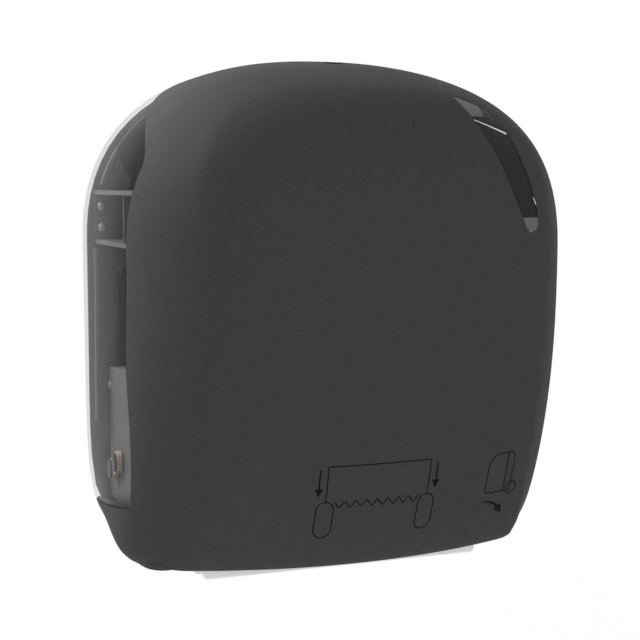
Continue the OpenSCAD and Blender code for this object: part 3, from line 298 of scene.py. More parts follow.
def dome_point(s, around, turn, inset, chin, flat):
    """Point of the cover's right half: around goes from bottom to top, turn from wall to front"""
    across, up = cosine(around), sine(around)
    high = above(up)
    upper = s.side_edge + (s.top_edge - s.side_edge) * (1.0 - across ** 3.0)
    lower = s.side_edge + (s.low_edge - s.side_edge) * (up * up)
    square = mix(mix(lower, upper, high), s.chin_square, flat)
    wide, deep = cosine(turn), sine(turn)
    whole = (wide ** square + deep ** square) ** (square ** -1.0)
    out, fore = wide / whole, deep / whole
    rim = outline(s, across, up, s.half_width, s.rim_drop, s.rim_square)
    front = outline(s, across, up, s.front_half, s.front_drop, s.front_square)
    bowed = mix(rim, front, eased(fore))
    chin_line = s.chin_drop / at_least(size_of(up), LEAST_SINE)
    radius = mix(bowed, chin_line, chin)
    x, z = radius * out * across, radius * out * up
    shrink = (radius - inset) / radius
    y = (front_depth(s, x, z) - inset) * fore * -1.0
    return x * shrink, y, z * shrink


def plain_sizes(group):
    """Values of a property group as plain numbers, which the functions of the cover take as s"""
    return types.SimpleNamespace(**{name: getattr(group, name) for name in group.__annotations__})


def chin_angles(s):
    """Angles where the chin ends and where the side begins"""
    chin = -math.atan2(s.chin_drop, s.chin_half)
    return chin, chin + s.chin_step


CHIN_CRISP = 0.9  # share of the chin's step over which the chin ends
LEAN_REACH = 4  # leans over which a side window's dropped edge fades out
BLEND_FROM = math.radians(45)
BLEND_OVER = math.radians(7)
CORNER_FROM = math.radians(34)
CORNER_OVER = math.radians(7.5)
CORNER_PAST = math.radians(42)
CORNER_FADE = math.radians(12)


def chin_share(s, around):
    """1 on the chin, falling to 0 over the first part of the step beside it"""
    chin, _corner = chin_angles(s)
    return 1.0 - smooth((around - chin) / (s.chin_step * CHIN_CRISP))


def flat_share(s, around, turn):
    """1 on the chin, falling to 0 beside it: at once at the edge and gently on the front"""
    width = mix(s.chin_step * CHIN_CRISP, s.chin_blend, smooth((turn - BLEND_FROM) / BLEND_OVER))
    return 1.0 - smooth((around - chin_angles(s)[0]) / width)


def leaned(s, around, turn):
    """Angle round the cover, a side window's lower edge dropped towards the wall and at its corner"""
    near = 1.0 - smooth(np.abs(around - s.window_low) / (LEAN_REACH * s.window_lean))
    corner = smooth((turn - CORNER_FROM) / CORNER_OVER) * (1.0 - smooth((turn - CORNER_PAST) / CORNER_FADE))
    drop = s.window_lean * np.clip(1.0 - turn / s.window_turn, 0.0, 1.0) + s.window_corner * corner
    return around - near * drop


def rear_turn(s, around):
    """Edge angle where the cover stops short of the wall"""
    across, up = np.cos(around), np.sin(around)
    rim = outline(s, across, up, s.half_width, s.rim_drop, s.rim_square)
    return np.arcsin(s.rear / front_depth(s, rim * across, rim * up))


FLARE_FROM = math.radians(-22)


def window_edge(s, around):
    """Edge angle where the side windows end: narrower towards the top, flared at the bottom"""
    narrow = smooth((s.window_high - around) / (s.window_high - s.window_narrow))
    flare = smooth((FLARE_FROM - around) / (FLARE_FROM - s.window_low))
    return s.window_turn * narrow + s.window_flare * flare


def turn_at(s, around, radius):
    """Edge angle of the front at a distance from the cover's middle, found by halving"""
    low, high = 0.0, STEEPEST
    for _ in range(HALVINGS):
        middle = (low + high) / 2
        x, _y, z = dome_point(s, around, middle, 0.0, chin_share(s, around), flat_share(s, around, middle))
        low, high = (middle, high) if math.hypot(x, z) > radius else (low, middle)
    return middle


def front_point(s, x, z, lift=0.0):
    """Point on the front over x and z, lifted off the skin"""
    around = math.atan2(z, abs(x))
    turn = turn_at(s, around, math.hypot(x, z))
    y = dome_point(s, around, turn, 0.0, chin_share(s, around), flat_share(s, around, turn))[1]
    return Vector((x, y - lift, z))


# Mesh helpers

def new_object(name, vertices, faces, edges=()):
    mesh = bpy.data.meshes.new(name)
    mesh.from_pydata([tuple(v) for v in vertices], list(edges), [tuple(f) for f in faces])
    piece = bpy.data.objects.new(name, mesh)
    bpy.context.scene.collection.objects.link(piece)
    return piece


def settle(piece):
    """Turns what a piece's modifiers make into its plain mesh"""
    view = bpy.context.evaluated_depsgraph_get()
    mesh = bpy.data.meshes.new_from_object(piece.evaluated_get(view), depsgraph=view)
    old = piece.data
    piece.modifiers.clear()
    piece.data = mesh
    mesh.name = piece.name
    bpy.data.meshes.remove(old)


SMOOTH_BELOW = math.radians(32)
MERGE_WITHIN = 2e-6
FLAT_WITHIN = 1e-6


def close_up(piece, crease=SMOOTH_BELOW):
    """Merges doubles, turns the faces outwards and smooths all but the sharp edges"""
    grid = bmesh.new()
    grid.from_mesh(piece.data)
    bmesh.ops.remove_doubles(grid, verts=grid.verts, dist=MERGE_WITHIN)
    bmesh.ops.dissolve_degenerate(grid, edges=grid.edges, dist=FLAT_WITHIN)
    bmesh.ops.recalc_face_normals(grid, faces=grid.faces)
    grid.to_mesh(piece.data)
    grid.free()
    piece.data.shade_smooth()
    piece.data.set_sharp_from_angle(angle=crease)
    return piece


def join_frame(piece, body, slot, *nodes):
    """Lets a finished piece ride on its body in place of its CAD nodes"""
    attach(piece, body)
    if nodes:
        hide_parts(*nodes)


def cut_away(piece, *cutters):
    """Cuts closed meshes out of a piece"""
    for cutter in cutters:
        cut = piece.modifiers.new("cut", "BOOLEAN")
        cut.operation = "DIFFERENCE"
        cut.solver = "EXACT"
        cut.object = cutter
    settle(piece)
    for cutter in cutters:
        mesh = cutter.data
        bpy.data.objects.remove(cutter)
        bpy.data.meshes.remove(mesh)
    return piece


def solid_boxes(node):
    """Lowest and highest corners of each separate solid of a CAD node, from left to right"""
    grid = bmesh.new()
    grid.from_mesh(NODES[node].data)
    bmesh.ops.remove_doubles(grid, verts=grid.verts, dist=FLAT_WITHIN)
    left = set(grid.verts)
    boxes = []
    while left:
        group, edge = set(), [left.pop()]
        while edge:
            point = edge.pop()
            group.add(point)
            for other in (link.other_vert(point) for link in point.link_edges):
                if other in left:
                    left.discard(other)
                    edge.append(other)
        places = np.array([v.co for v in group])
        boxes.append((Vector(places.min(0)), Vector(places.max(0))))
    grid.free()
    return sorted(boxes, key=lambda box: tuple(box[0]))


def middle_of(node):
    """Middle of a CAD node's box"""
    low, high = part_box(node)
    return (low + high) / 2


def body_of(node):
    """Body that a CAD node rides on"""
    bodies = frame["record"]["behaviour"]["bodies"]
    return next(body for body, nodes in bodies.items() if node in nodes)


def prism(name, outline_points, y_front, y_rear):
    """Closed prism along Y through an outline in x and z"""
    count = len(outline_points)
    vertices = [(x, y, z) for y in (y_front, y_rear) for x, z in outline_points]
    faces = [tuple(range(count)), tuple(range(2 * count - 1, count - 1, -1))]
    faces += [(i, count + i, count + (i + 1) % count, (i + 1) % count) for i in range(count)]
    return close_up(new_object(name, vertices, faces))


def turned_piece(name, profile, place, sides=48):
    """Lathe of a profile of (radius, height) points about an upright axis through a place"""
    vertices, faces = [], []
    for step in range(sides):
        turn = 2 * math.pi * step / sides
        vertices += [place + Vector((radius * math.cos(turn), radius * math.sin(turn), height))
                     for radius, height in profile]
    count = len(profile)
    for step in range(sides):
        a, b = step * count, (step + 1) % sides * count
        faces += [(a + j, b + j, b + j + 1, a + j + 1) for j in range(count - 1)]
    return close_up(new_object(name, vertices, faces))


# Node trees

def feed(node, inputs):
    """Sets a node's inputs: a socket or a field is linked to its input, and a plain value is written in"""
    for name, value in inputs.items():
        source = value.socket if isinstance(value, Field) else value
        if isinstance(source, bpy.types.NodeSocket):
            node.id_data.links.new(source, node.inputs[name])
        else:
            node.inputs[name].default_value = source
    return node


def add_node(tree, kind, inputs=None, **settings):
    node = tree.nodes.new(kind)
    for name, value in settings.items():
        setattr(node, name, value)
    return feed(node, inputs or {})


def empty_tree(owner):
    """Node tree of a material or a world, without the nodes that it starts with"""
    owner.use_nodes = True
    owner.node_tree.nodes.clear()
    return owner.node_tree


def start_tree(name, kinds):
    """Geometry node tree with named inputs, and the sockets that hold what it is given"""
    tree = bpy.data.node_groups.new(name, "GeometryNodeTree")
    for socket, kind in {"Geometry": "Geometry", **kinds, "finish": "Material"}.items():
        tree.interface.new_socket(socket, in_out="INPUT", socket_type="NodeSocket" + kind)
    tree.interface.new_socket("Geometry", in_out="OUTPUT", socket_type="NodeSocketGeometry")
    return tree, tree.nodes.new("NodeGroupInput").outputs


def end_tree(tree, given, geometry):
    """Ends a tree in Realize Instances and Set Material"""
    real = add_node(tree, "GeometryNodeRealizeInstances", {"Geometry": geometry})
    paint = add_node(tree, "GeometryNodeSetMaterial",
                     {"Geometry": real.outputs[0], "Material": given["finish"]})
    add_node(tree, "NodeGroupOutput", {"Geometry": paint.outputs[0]})
    return tree


def attribute(tree, name, kind="FLOAT"):
    """Output that reads a named attribute of the points"""
    node = add_node(tree, "GeometryNodeInputNamedAttribute", {"Name": name}, data_type=kind)
    return node.outputs["Attribute"]


def run_tree(piece, tree, **values):
    """Runs a node tree on a piece, its named inputs set by their sockets' identifiers"""
    made = piece.modifiers.new(tree.name, "NODES")
    made.node_group = tree
    for socket in tree.interface.items_tree:
        if socket.in_out == "INPUT" and socket.name in values:
            made[socket.identifier] = values[socket.name]
    settle(piece)


# Finishes

def start_finish(name):
    """New material with a Principled shader, and its Object coordinates"""
    material = bpy.data.materials.new(name)
    tree = empty_tree(material)
    shader = add_node(tree, "ShaderNodeBsdfPrincipled")
    add_node(tree, "ShaderNodeOutputMaterial", {"Surface": shader.outputs["BSDF"]})
    place = add_node(tree, "ShaderNodeTexCoord")
    return material, tree, shader, place.outputs["Object"]


def noise(tree, place, scale, detail=3.0, roughness=0.55):
    node = add_node(tree, "ShaderNodeTexNoise",
                    {"Vector": place, "Scale": scale, "Detail": detail, "Roughness": roughness})
    return node.outputs["Fac"]


def stretched(tree, place, scale):
    return add_node(tree, "ShaderNodeMapping", {"Vector": place, "Scale": scale}).outputs["Vector"]


def spread_over(tree, source, low, high, start=0.3, end=0.7):
    """Maps what goes from start to end, by default a noise, to a range of values"""
    node = add_node(tree, "ShaderNodeMapRange", {"Value": source, "From Min": start, "From Max": end,
                                                 "To Min": low, "To Max": high})
    return node.outputs["Result"]


def rising(field, start, end):
    """Share that rises from 0 to 1 while a field goes from start to end"""
    return Field(field.tree, spread_over(field.tree, field, 0.0, 1.0, start, end))


def place_fields(tree, place):
    """X, Y and Z of a place as fields"""
    parts = add_node(tree, "ShaderNodeSeparateXYZ", {"Vector": place})
    return [Field(tree, axis) for axis in parts.outputs]


def tinted(tree, source, low, high):
    """Mixes two colours by a share"""
    node = add_node(tree, "ShaderNodeMix", {"Factor": source}, data_type="RGBA")
    for socket, value in zip([i for i in node.inputs if i.type == "RGBA"], (low, high)):
        socket.default_value = (*value, 1.0)
    return next(o for o in node.outputs if o.type == "RGBA")


def scaled(rgb, share):
    return tuple(min(1.0, c * share) for c in rgb)


def mottled(tree, source, rgb, low, high):
    """Colour that goes with a noise from one share of itself to another"""
    return tinted(tree, spread_over(tree, source, 0.0, 1.0), scaled(rgb, low), scaled(rgb, high))


def raised(tree, height, depth, strength):
    """Normal of a surface that a height raises"""
    bump = add_node(tree, "ShaderNodeBump", {"Height": height, "Distance": depth, "Strength": strength})
    return bump.outputs["Normal"]


def moulded(name, rgb, roughness, grain=900.0, depth=0.00012, mottle=0.08, polish=0.06, gloss=0.5):
    """Moulded plastic: faint mottle, uneven polish and a fine surface grain"""
    material, tree, shader, place = start_finish(name)
    cloud = noise(tree, place, scale=38.0, detail=5.0)
    wear = noise(tree, place, scale=90.0, detail=4.0)
    feed(shader, {
        "Base Color": mottled(tree, cloud, rgb, 1 - mottle, 1 + mottle),
        "Roughness": spread_over(tree, wear, roughness - polish, roughness + polish),
        "Normal": raised(tree, noise(tree, place, scale=grain, detail=2.0), depth, strength=0.4),
        "Specular IOR Level": gloss,
    })
    return material


PIT_SHARE = 0.7


def grained_skin(name, rgb):
    """Textured charcoal plastic: small pebbles with finer pits between them"""
    material, tree, shader, place = start_finish(name)
    pebbles = add_node(tree, "ShaderNodeTexVoronoi", {"Vector": place, "Scale": 1300.0, "Smoothness": 0.5},
                       feature="SMOOTH_F1")
    pits = Field(tree, noise(tree, place, scale=2400.0, detail=3.0, roughness=0.6))
    height = pits.math("MULTIPLY_ADD", PIT_SHARE, Field(tree, pebbles.outputs["Distance"]))
    specks = noise(tree, place, scale=1100.0, detail=4.0, roughness=0.7)
    wear = noise(tree, place, scale=25.0, detail=5.0)
    feed(shader, {
        "Base Color": mottled(tree, specks, rgb, low=0.80, high=1.20),
        "Roughness": spread_over(tree, wear, low=0.46, high=0.56),
        "Normal": raised(tree, height, depth=0.0006, strength=0.8),
        "Specular IOR Level": 0.012,
    })
    return material


FLOW_STRETCH = (1.0, 1.0, 0.3)


def smoked_clear(name, rgb):
    """Smoked clear plastic with faint flow marks and hairline wear"""
    material, tree, shader, place = start_finish(name)
    cloud = noise(tree, place, scale=30.0, detail=4.0)
    wear = noise(tree, place, scale=120.0, detail=4.0)
    flow = noise(tree, stretched(tree, place, FLOW_STRETCH), scale=60.0, detail=2.0)
    feed(shader, {
        "Base Color": mottled(tree, cloud, rgb, low=0.94, high=1.06),
        "Roughness": spread_over(tree, wear, low=0.03, high=0.07),
        "Normal": raised(tree, flow, depth=0.0002, strength=0.04),
        "Alpha": 0.20,
        "Specular IOR Level": 0.08,
    })
    return material


# Where the lens takes its painted light: the upper end by height and place across, the lower end by height
LENS_HIGH = (0.0905, 0.0915)
LENS_LOW = (0.0240, 0.0232)
LENS_SIDE = (0.0775, 0.0760)


def lens_finish(name, rgb, painted_light_rgb):
    """Deeply smoked plastic, with painted light at its upper and lower ends for the lit inside seen through
    it
    """
    material, tree, shader, place = start_finish(name)
    x, _y, z = place_fields(tree, place)
    high = rising(z, *LENS_HIGH) * rising(x, *LENS_SIDE)
    wear = noise(tree, place, scale=120.0, detail=4.0)
    feed(shader, {
        # Painted light mixed in at the lens's ends
        "Base Color": tinted(tree, high.math("MAXIMUM", rising(z, *LENS_LOW)), rgb, painted_light_rgb),
        "Roughness": spread_over(tree, wear, low=0.08, high=0.14),
        "Normal": raised(tree, noise(tree, place, scale=60.0, detail=2.0), depth=0.0002, strength=0.04),
        "Alpha": 0.88,
        "Specular IOR Level": 0.1,
    })
    return material


# Bounds of the light ring sides; the rest of the plate takes the painted shade
RING_SIDE = (0.138, 0.142)
RING_FRONT = (-0.0030, -0.0045)


def painted_shade_plate_finish(name, edge_rgb, painted_shade_rgb):
    """Back plate: light grey on the ring at its sides, and a darker painted shade behind the roll and on its
    rear
    """
    material, tree, shader, place = start_finish(name)
    x, y, _z = place_fields(tree, place)
    edge = rising(size_of(x), *RING_SIDE) * rising(y, *RING_FRONT)
    wear = noise(tree, place, scale=90.0, detail=4.0)
    feed(shader, {
        # Painted shade: the plate is darker away from the sides of its ring
        "Base Color": tinted(tree, edge, painted_shade_rgb, edge_rgb),
        "Roughness": spread_over(tree, wear, low=0.42, high=0.55),
        "Normal": raised(tree, noise(tree, place, scale=800.0, detail=2.0), depth=0.00003, strength=0.3),
    })
    return material


MARK_STRETCH = (12.0, 1.0, 1.0)


def turned_steel(name, rgb, roughness=0.3):
    """Bright steel with fine turning marks across its length"""
    material, tree, shader, place = start_finish(name)
    marks = noise(tree, stretched(tree, place, MARK_STRETCH), scale=260.0, detail=4.0, roughness=0.6)
    wear = noise(tree, place, scale=70.0, detail=4.0)
    feed(shader, {
        "Base Color": mottled(tree, marks, rgb, low=0.86, high=1.10),
        "Roughness": spread_over(tree, wear, roughness - 0.07, roughness + 0.09),
        "Normal": raised(tree, marks, depth=0.00004, strength=0.3),
        "Metallic": 1.0,
    })
    return material


def make_finishes(colours):
    """Finishes by the record's material slot, and the few that go with single pieces"""
    return {
        "charcoal": grained_skin("charcoal_grain", colours.charcoal),
        "smoke": smoked_clear("smoked_clear", colours.smoke),
        "light_plastic": moulded("light_grey_plastic", colours.light, 0.45),
        "dark_plastic": moulded("dark_grey_plastic", colours.dark, 0.40, mottle=0.12),
        "lock_metal": turned_steel("blackened_lock", scaled(colours.dark, 0.6), 0.38),
        "rubber": moulded("grip_rubber", colours.rubber, 0.72, grain=1600.0, depth=0.0003, mottle=0.18),
        "steel": turned_steel("bright_steel", colours.steel),
        "beige_plastic": moulded("beige_plastic", colours.beige, 0.42),
        "white_plastic": moulded("white_plastic", colours.white, 0.35, mottle=0.02),
        # The back plate's darker middle is painted shade
        "wall_plate_painted_shade": painted_shade_plate_finish("wall_plate_plastic", colours.light, colours.wall_plate_painted_shade),
        # The lens's paler ends are painted light
        "lens": lens_finish("smoked_lens", colours.lens, colours.lens_painted_light),
        # Near-white finish of the painted highlights on the level window's edges
        "painted_highlight": moulded("bright_edge", colours.painted_highlight, 0.2, mottle=0.03),
        "ink": moulded("printed_ink", colours.ink, 0.7, mottle=0.2, gloss=0.05),
    }


FINISHES = {}


def dress(piece, name):
    piece.data.materials.clear()
    piece.data.materials.append(FINISHES[name])


class DISPENSER_OT_finishes(bpy.types.Operator):
    """Make the finishes and give each node of the frame its own"""
    bl_idname = "dispenser.finishes"
    bl_label = "Finishes"

    def execute(self, context):
        FINISHES.update(make_finishes(context.scene.dispenser_colours))
        for name, node in NODES.items():
            dress(node, "wall_plate_painted_shade" if name == "back_plate" else SLOT_OF_NODE[name])
        return {"FINISHED"}


# Cover, whose pieces follow the dome's rule

NET_COLUMNS = ("around", "turn", "inset", "chin", "flat", "side")


def dome_tree():
    """Geometry nodes that place a net of points on the dome by its rule"""
    tree, given = start_tree("dome_rule", dict.fromkeys(RULE_SIZES, "Float"))
    sizes = types.SimpleNamespace(**{name: Field(tree, given[name]) for name in RULE_SIZES})
    net = {name: Field(tree, attribute(tree, name)) for name in NET_COLUMNS}
    side = net.pop("side")
    x, y, z = dome_point(sizes, **net)
    point = add_node(tree, "ShaderNodeCombineXYZ", {"X": x * side, "Y": y, "Z": z})
    laid = add_node(tree, "GeometryNodeSetPosition",
                    {"Geometry": given["Geometry"], "Position": point.outputs[0]})
    return end_tree(tree, given, laid.outputs[0])


def net_point(s, around, turn, inset, side):
    """One point of a net, in the order of NET_COLUMNS"""
    place = leaned(s, around, turn)
    return place, turn, inset, chin_share(s, around), flat_share(s, place, turn), side


def lay_on_dome(name, net, faces, shape, finish):
    """Places the points of a net on the dome"""
    piece = new_object(name, np.zeros((len(net), 3)), faces)
    for column, key in enumerate(NET_COLUMNS):
        layer = piece.data.attributes.new(key, "FLOAT", "POINT")
        layer.data.foreach_set("value", np.ascontiguousarray(net[:, column], np.float32))
    tree = bpy.data.node_groups.get("dome_rule") or dome_tree()
    sizes = {key: getattr(shape, key) for key in RULE_SIZES}
    run_tree(piece, tree, finish=FINISHES[finish], **sizes)
    for key in NET_COLUMNS:
        piece.data.attributes.remove(piece.data.attributes[key])
    return close_up(piece)


BEND = math.radians(46)
POLE = math.pi / 2 - 1e-4
WINDOW_STEP = math.radians(0.15)
CHIN_ROWS = 30
STEP_ROWS = 16
CORNER_ROWS = 18
WINDOW_ROWS = 84
TOP_ROWS = 34
SIDE_COLUMNS = 16
BEND_COLUMNS = 12
FRONT_COLUMNS = 34
BEND_CROWD = 1.3
FRONT_CROWD = 1.4


def skin_rows(s):
    """(around, edge turn) up the right half of the skin, from the chin's middle to the top"""
    chin, corner = chin_angles(s)
    rows = [(a, s.chin_cut) for a in np.linspace(-math.pi / 2, chin, CHIN_ROWS)]
    for u in np.linspace(0.0, 1.0, STEP_ROWS)[1:-1]:
        around = mix(chin, corner, u)
        rows.append((around, mix(rear_turn(s, around), s.chin_cut, chin_share(s, around))))
    rows += [(a, rear_turn(s, a)) for a in np.linspace(corner, s.window_low - WINDOW_STEP, CORNER_ROWS)]
    rows += [(a, max(window_edge(s, a), rear_turn(s, a)))
             for a in np.linspace(s.window_low, s.window_high, WINDOW_ROWS)]
    rows += [(a, rear_turn(s, a)) for a in np.linspace(s.window_high, math.pi / 2, TOP_ROWS)[1:]]
    return rows


def skin_turns(s, edge):
    """Edge angles across one row of the skin, closest together where it bends"""
    start = max(edge, s.window_turn)
    side = [mix(edge, start, u) for u in np.linspace(0, 1, SIDE_COLUMNS)[:-1]]
    bend = [mix(start, BEND, 1 - (1 - u) ** BEND_CROWD) for u in np.linspace(0, 1, BEND_COLUMNS)]
    front = [mix(BEND, POLE, u ** FRONT_CROWD) for u in np.linspace(0, 1, FRONT_COLUMNS)[1:-1]]
    return side + bend + front


def skin_net(s):
    """Net of the closed skin: outer and inner walls that meet at the rim, closed at the front"""
    half = skin_rows(s)
    ring = [(row, 1.0) for row in half] + [(row, -1.0) for row in half[-2:0:-1]]
    net = []
    for inset in (0.0, s.skin):
        for (around, edge), side in ring:
            net += [net_point(s, around, turn, inset, side) for turn in skin_turns(s, edge)]
    columns = len(skin_turns(s, 0.0))
    count = len(ring) * columns
    net += [net_point(s, 0.0, POLE, inset, 1.0) for inset in (0.0, s.skin)]
    faces = []
    for i in range(len(ring)):
        a, b = i * columns, (i + 1) % len(ring) * columns
        for j in range(columns - 1):
            faces.append((a + j, a + j + 1, b + j + 1, b + j))
            faces.append((count + a + j, count + b + j, count + b + j + 1, count + a + j + 1))
        last = columns - 1
        faces += [(a, b, count + b, count + a), (a + last, 2 * count, b + last),
                  (count + a + last, count + b + last, 2 * count + 1)]
    return np.array(net), faces


BOW_FROM = math.radians(22)
SLIT_STEPS = 40
SLIT_END_TURNS = np.radians(np.linspace(8, 165, 22))


def slit_reach(s, turn):
    """Radius of the level window's outer edge: a curve that stands out at its upper corner"""
    out = smooth((turn - BOW_FROM) / (s.slit_corner - BOW_FROM))
    back = np.clip((turn - s.slit_corner) / (s.slit_top - s.slit_corner), 0.0, 1.0)
    return s.slit_radius + s.slit_bow * out - (s.slit_bow + s.slit_pull) * back


def slit_outline(s, gap=0.0, tip_gap=0.0):
    """Outline of the level window on the front, clockwise from its tip, smaller by a gap and an angle"""
    def arc(turn, radius):
        return s.slit_x + radius * math.cos(turn), s.slit_rise + radius * math.sin(turn)
    turns = np.linspace(s.slit_top - tip_gap, s.slit_low, SLIT_STEPS)
    points = [arc(turn, slit_reach(s, turn) - gap) for turn in turns]
    end_x, end_z = arc(s.slit_low, s.slit_radius - s.slit_end)
    reach = s.slit_end - gap
    return points + [(end_x + reach * math.cos(turn), end_z + reach * math.sin(turn))
                     for turn in s.slit_low - SLIT_END_TURNS]


SLIT_CUT = (CAD_BOX[0][1] - 0.01, -0.06)
HOLE_SLACK = 0.0001
HOLE_TALL = 0.06


class DISPENSER_OT_cover_skin(bpy.types.Operator):
    """Build the grained skin of the cover, with its level window and lock hole cut out"""
    bl_idname = "dispenser.cover_skin"
    bl_label = "Cover skin"

    def execute(self, context):
        s = plain_sizes(context.scene.dispenser_shape)
        net, faces = skin_net(s)
        skin = lay_on_dome("cover_skin_grained", net, faces, s, "charcoal")
        slit = prism("slit_cutter", slit_outline(s), *SLIT_CUT)
        low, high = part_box("lock_barrel")
        radius = (high.x - low.x) / 2 + HOLE_SLACK
        foot = Vector(((low.x + high.x) / 2, (low.y + high.y) / 2, low.z))
        profile = [(0.0, 0.0), (radius, 0.0), (radius, HOLE_TALL), (0.0, HOLE_TALL)]
        cut_away(skin, slit, turned_piece("hole_cutter", profile, foot))
        close_up(skin)
        dress(skin, "charcoal")
        join_frame(skin, "cover", "charcoal", "cover_skin")
        return {"FINISHED"}


EDGE_SLACK = math.radians(0.15)
WEB_TURN = math.radians(0.9)
PANE_END = math.radians(6)
TUCK_THICK = 0.002
TUCK_GAP = 0.00045
PANE_ROWS = 96
PANE_COLUMNS = 24
TUCK_COLUMNS = 6
INNER_COLUMNS = 22


def pane_section(s, around):
    """(turn, inset) round one section of a side window: flush pane, web and tuck under the skin"""
    rear = rear_turn(s, around)
    edge = window_edge(s, around) - EDGE_SLACK
    tucked = window_edge(s, around) + s.window_tuck
    low = s.skin + TUCK_GAP
    return ([(t, 0.0) for t in np.linspace(rear, edge, PANE_COLUMNS)]
            + [(t, low) for t in np.linspace(edge, tucked, TUCK_COLUMNS)]
            + [(t, low + TUCK_THICK) for t in np.linspace(tucked, edge - WEB_TURN, TUCK_COLUMNS)]
            + [(t, s.skin) for t in np.linspace(edge - WEB_TURN, rear, INNER_COLUMNS)])


def pane_net(s, side):
    """Net of one side window, closed at both ends"""
    angles = np.linspace(s.window_low + EDGE_SLACK, s.window_high - PANE_END, PANE_ROWS)
    sections = [pane_section(s, around) for around in angles]
    net = [net_point(s, around, turn, inset, side)
           for around, section in zip(angles, sections) for turn, inset in section]
    count = len(sections[0])
    faces = [(i * count + j, i * count + (j + 1) % count, (i + 1) * count + (j + 1) % count,
              (i + 1) * count + j) for i in range(len(angles) - 1) for j in range(count)]
    for row in (0, len(angles) - 1):
        flat = [row * count + j for j in range(count)]
        middle = count // 2
        faces += [(flat[j], flat[j + 1], flat[-2 - j], flat[-1 - j]) for j in range(middle - 1)]
    return np.array(net), faces


class DISPENSER_OT_side_windows(bpy.types.Operator):
    """Build the smoked clear window at each side of the cover"""
    bl_idname = "dispenser.side_windows"
    bl_label = "Side windows"

    def execute(self, context):
        s = plain_sizes(context.scene.dispenser_shape)
        for name, side in (("left", -1.0), ("right", 1.0)):
            net, faces = pane_net(s, side)
            pane = lay_on_dome(f"side_window_{name}_clear", net, faces, s, "smoke")
            join_frame(pane, "cover", "smoke", f"side_window_{name}")
        return {"FINISHED"}


# Level window and printed signs, which lie on the front

FINE_LINE = 0.0008
BOLD_LINE = 0.0011
INK_THICK = 0.00006
INK_STEP = 0.0012


def stroke(s, points, widths):
    """Vertices and faces of a line on the front through points in x and z, from one width to another"""
    route = [np.array(points[0], float)]
    for target in points[1:]:
        start, target = route[-1], np.array(target, float)
        steps = max(1, int(np.linalg.norm(target - start) / INK_STEP))
        route += [mix(start, target, k / steps) for k in range(1, steps + 1)]
    vertices = []
    for i, spot in enumerate(route):
        width = mix(*widths, i / (len(route) - 1))
        ahead = route[min(i + 1, len(route) - 1)] - route[max(i - 1, 0)]
        aside = np.array((-ahead[1], ahead[0])) / max(1e-9, np.linalg.norm(ahead)) * width / 2
        for lift in (INK_THICK, -INK_THICK):
            vertices += [front_point(s, *(spot + aside), lift), front_point(s, *(spot - aside), lift)]
    faces = [(0, 1, 3, 2)]
    for i in range(len(route) - 1):
        a, b = 4 * i, 4 * i + 4
        faces += [(a, b, b + 1, a + 1), (a + 2, a + 3, b + 3, b + 2), (a, a + 2, b + 2, b),
                  (a + 1, b + 1, b + 3, a + 3)]
    last = 4 * len(route) - 4
    faces.append((last, last + 2, last + 3, last + 1))
    return vertices, faces


def inked_piece(s, name, strokes):
    """One piece made of several strokes on the front"""
    vertices, faces = [], []
    for points, widths in strokes:
        new_vertices, new_faces = stroke(s, points, widths)
        start = len(vertices)
        vertices += new_vertices
        faces += [tuple(start + k for k in face) for face in new_faces]
    return close_up(new_object(name, vertices, faces))


def lens_solid(rows, thick):
    """Closed plate under rows of points, its wall thick along Y"""
    count = len(rows[0])
    flat = [p for row in rows for p in row]
    vertices = flat + [p + Vector((0.0, thick, 0.0)) for p in flat]
    total = len(flat)
    faces = []
    for i in range(len(rows) - 1):
        for j in range(count - 1):
            a, b = i * count + j, (i + 1) * count + j
            faces += [(a, a + 1, b + 1, b), (total + a, total + b, total + b + 1, total + a + 1)]
    rim = (list(range(count)) + [i * count + count - 1 for i in range(1, len(rows))]
           + [(len(rows) - 1) * count + j for j in range(count - 2, -1, -1)]
           + [i * count for i in range(len(rows) - 2, 0, -1)])
    faces += [(a, total + a, total + b, b) for a, b in zip(rim, rim[1:] + rim[:1])]
    return vertices, faces


LENS_GAP = 0.0003
LENS_TIP_GAP = 0.0003  # radians on the slit's curve
LENS_COLUMNS = 9
# Strokes of the pale strips on the lens's edges, which are painted highlights
PAINTED_HIGHLIGHTS = (([(0.0672, 0.0886), (0.0911, 0.0796)], (0.0005, 0.0012)),
          ([(0.1066, 0.0373), (0.1089, 0.0323)], (0.0004, 0.0007)))


class DISPENSER_OT_level_window(bpy.types.Operator):
    """Build the smoked lens that fills the level window, flush with the skin, and the pale strips of painted
    highlight on its edges
    """
    bl_idname = "dispenser.level_window"
    bl_label = "Level window"

    def execute(self, context):
        s = plain_sizes(context.scene.dispenser_shape)
        points = np.array(slit_outline(s, LENS_GAP, LENS_TIP_GAP))
        chord = [mix(points[0], points[-1], u) for u in np.linspace(0, 1, SLIT_STEPS)]
        side, end = points[:SLIT_STEPS], points[SLIT_STEPS:]
        pairs = list(zip(side, chord)) + [(end[k], end[-1 - k]) for k in range(len(end) // 2)]
        rows = [[front_point(s, *mix(a, b, u)) for u in np.linspace(0, 1, LENS_COLUMNS)]
                for a, b in pairs]
        vertices, faces = lens_solid(rows, s.skin)
        lens = close_up(new_object("level_window_clear", vertices, faces))
        dress(lens, "lens")
        join_frame(lens, "cover", "smoke", "level_window")
        # Thin pale strips on the lens's edges are painted highlights, not parts of the lens
        edges = inked_piece(s, "level_window_edges", PAINTED_HIGHLIGHTS)
        dress(edges, "painted_highlight")
        join_frame(edges, "cover", "smoke")
        return {"FINISHED"}


def fine(points):
    return points, (FINE_LINE, FINE_LINE)


def arc_points(x, z, radius, start, end, count=14):
    return [(x + radius * math.cos(t), z + radius * math.sin(t))
            for t in np.radians(np.linspace(start, end, count))]


ARROW_WIDE = 0.95
ARROW_TIP = 0.0002


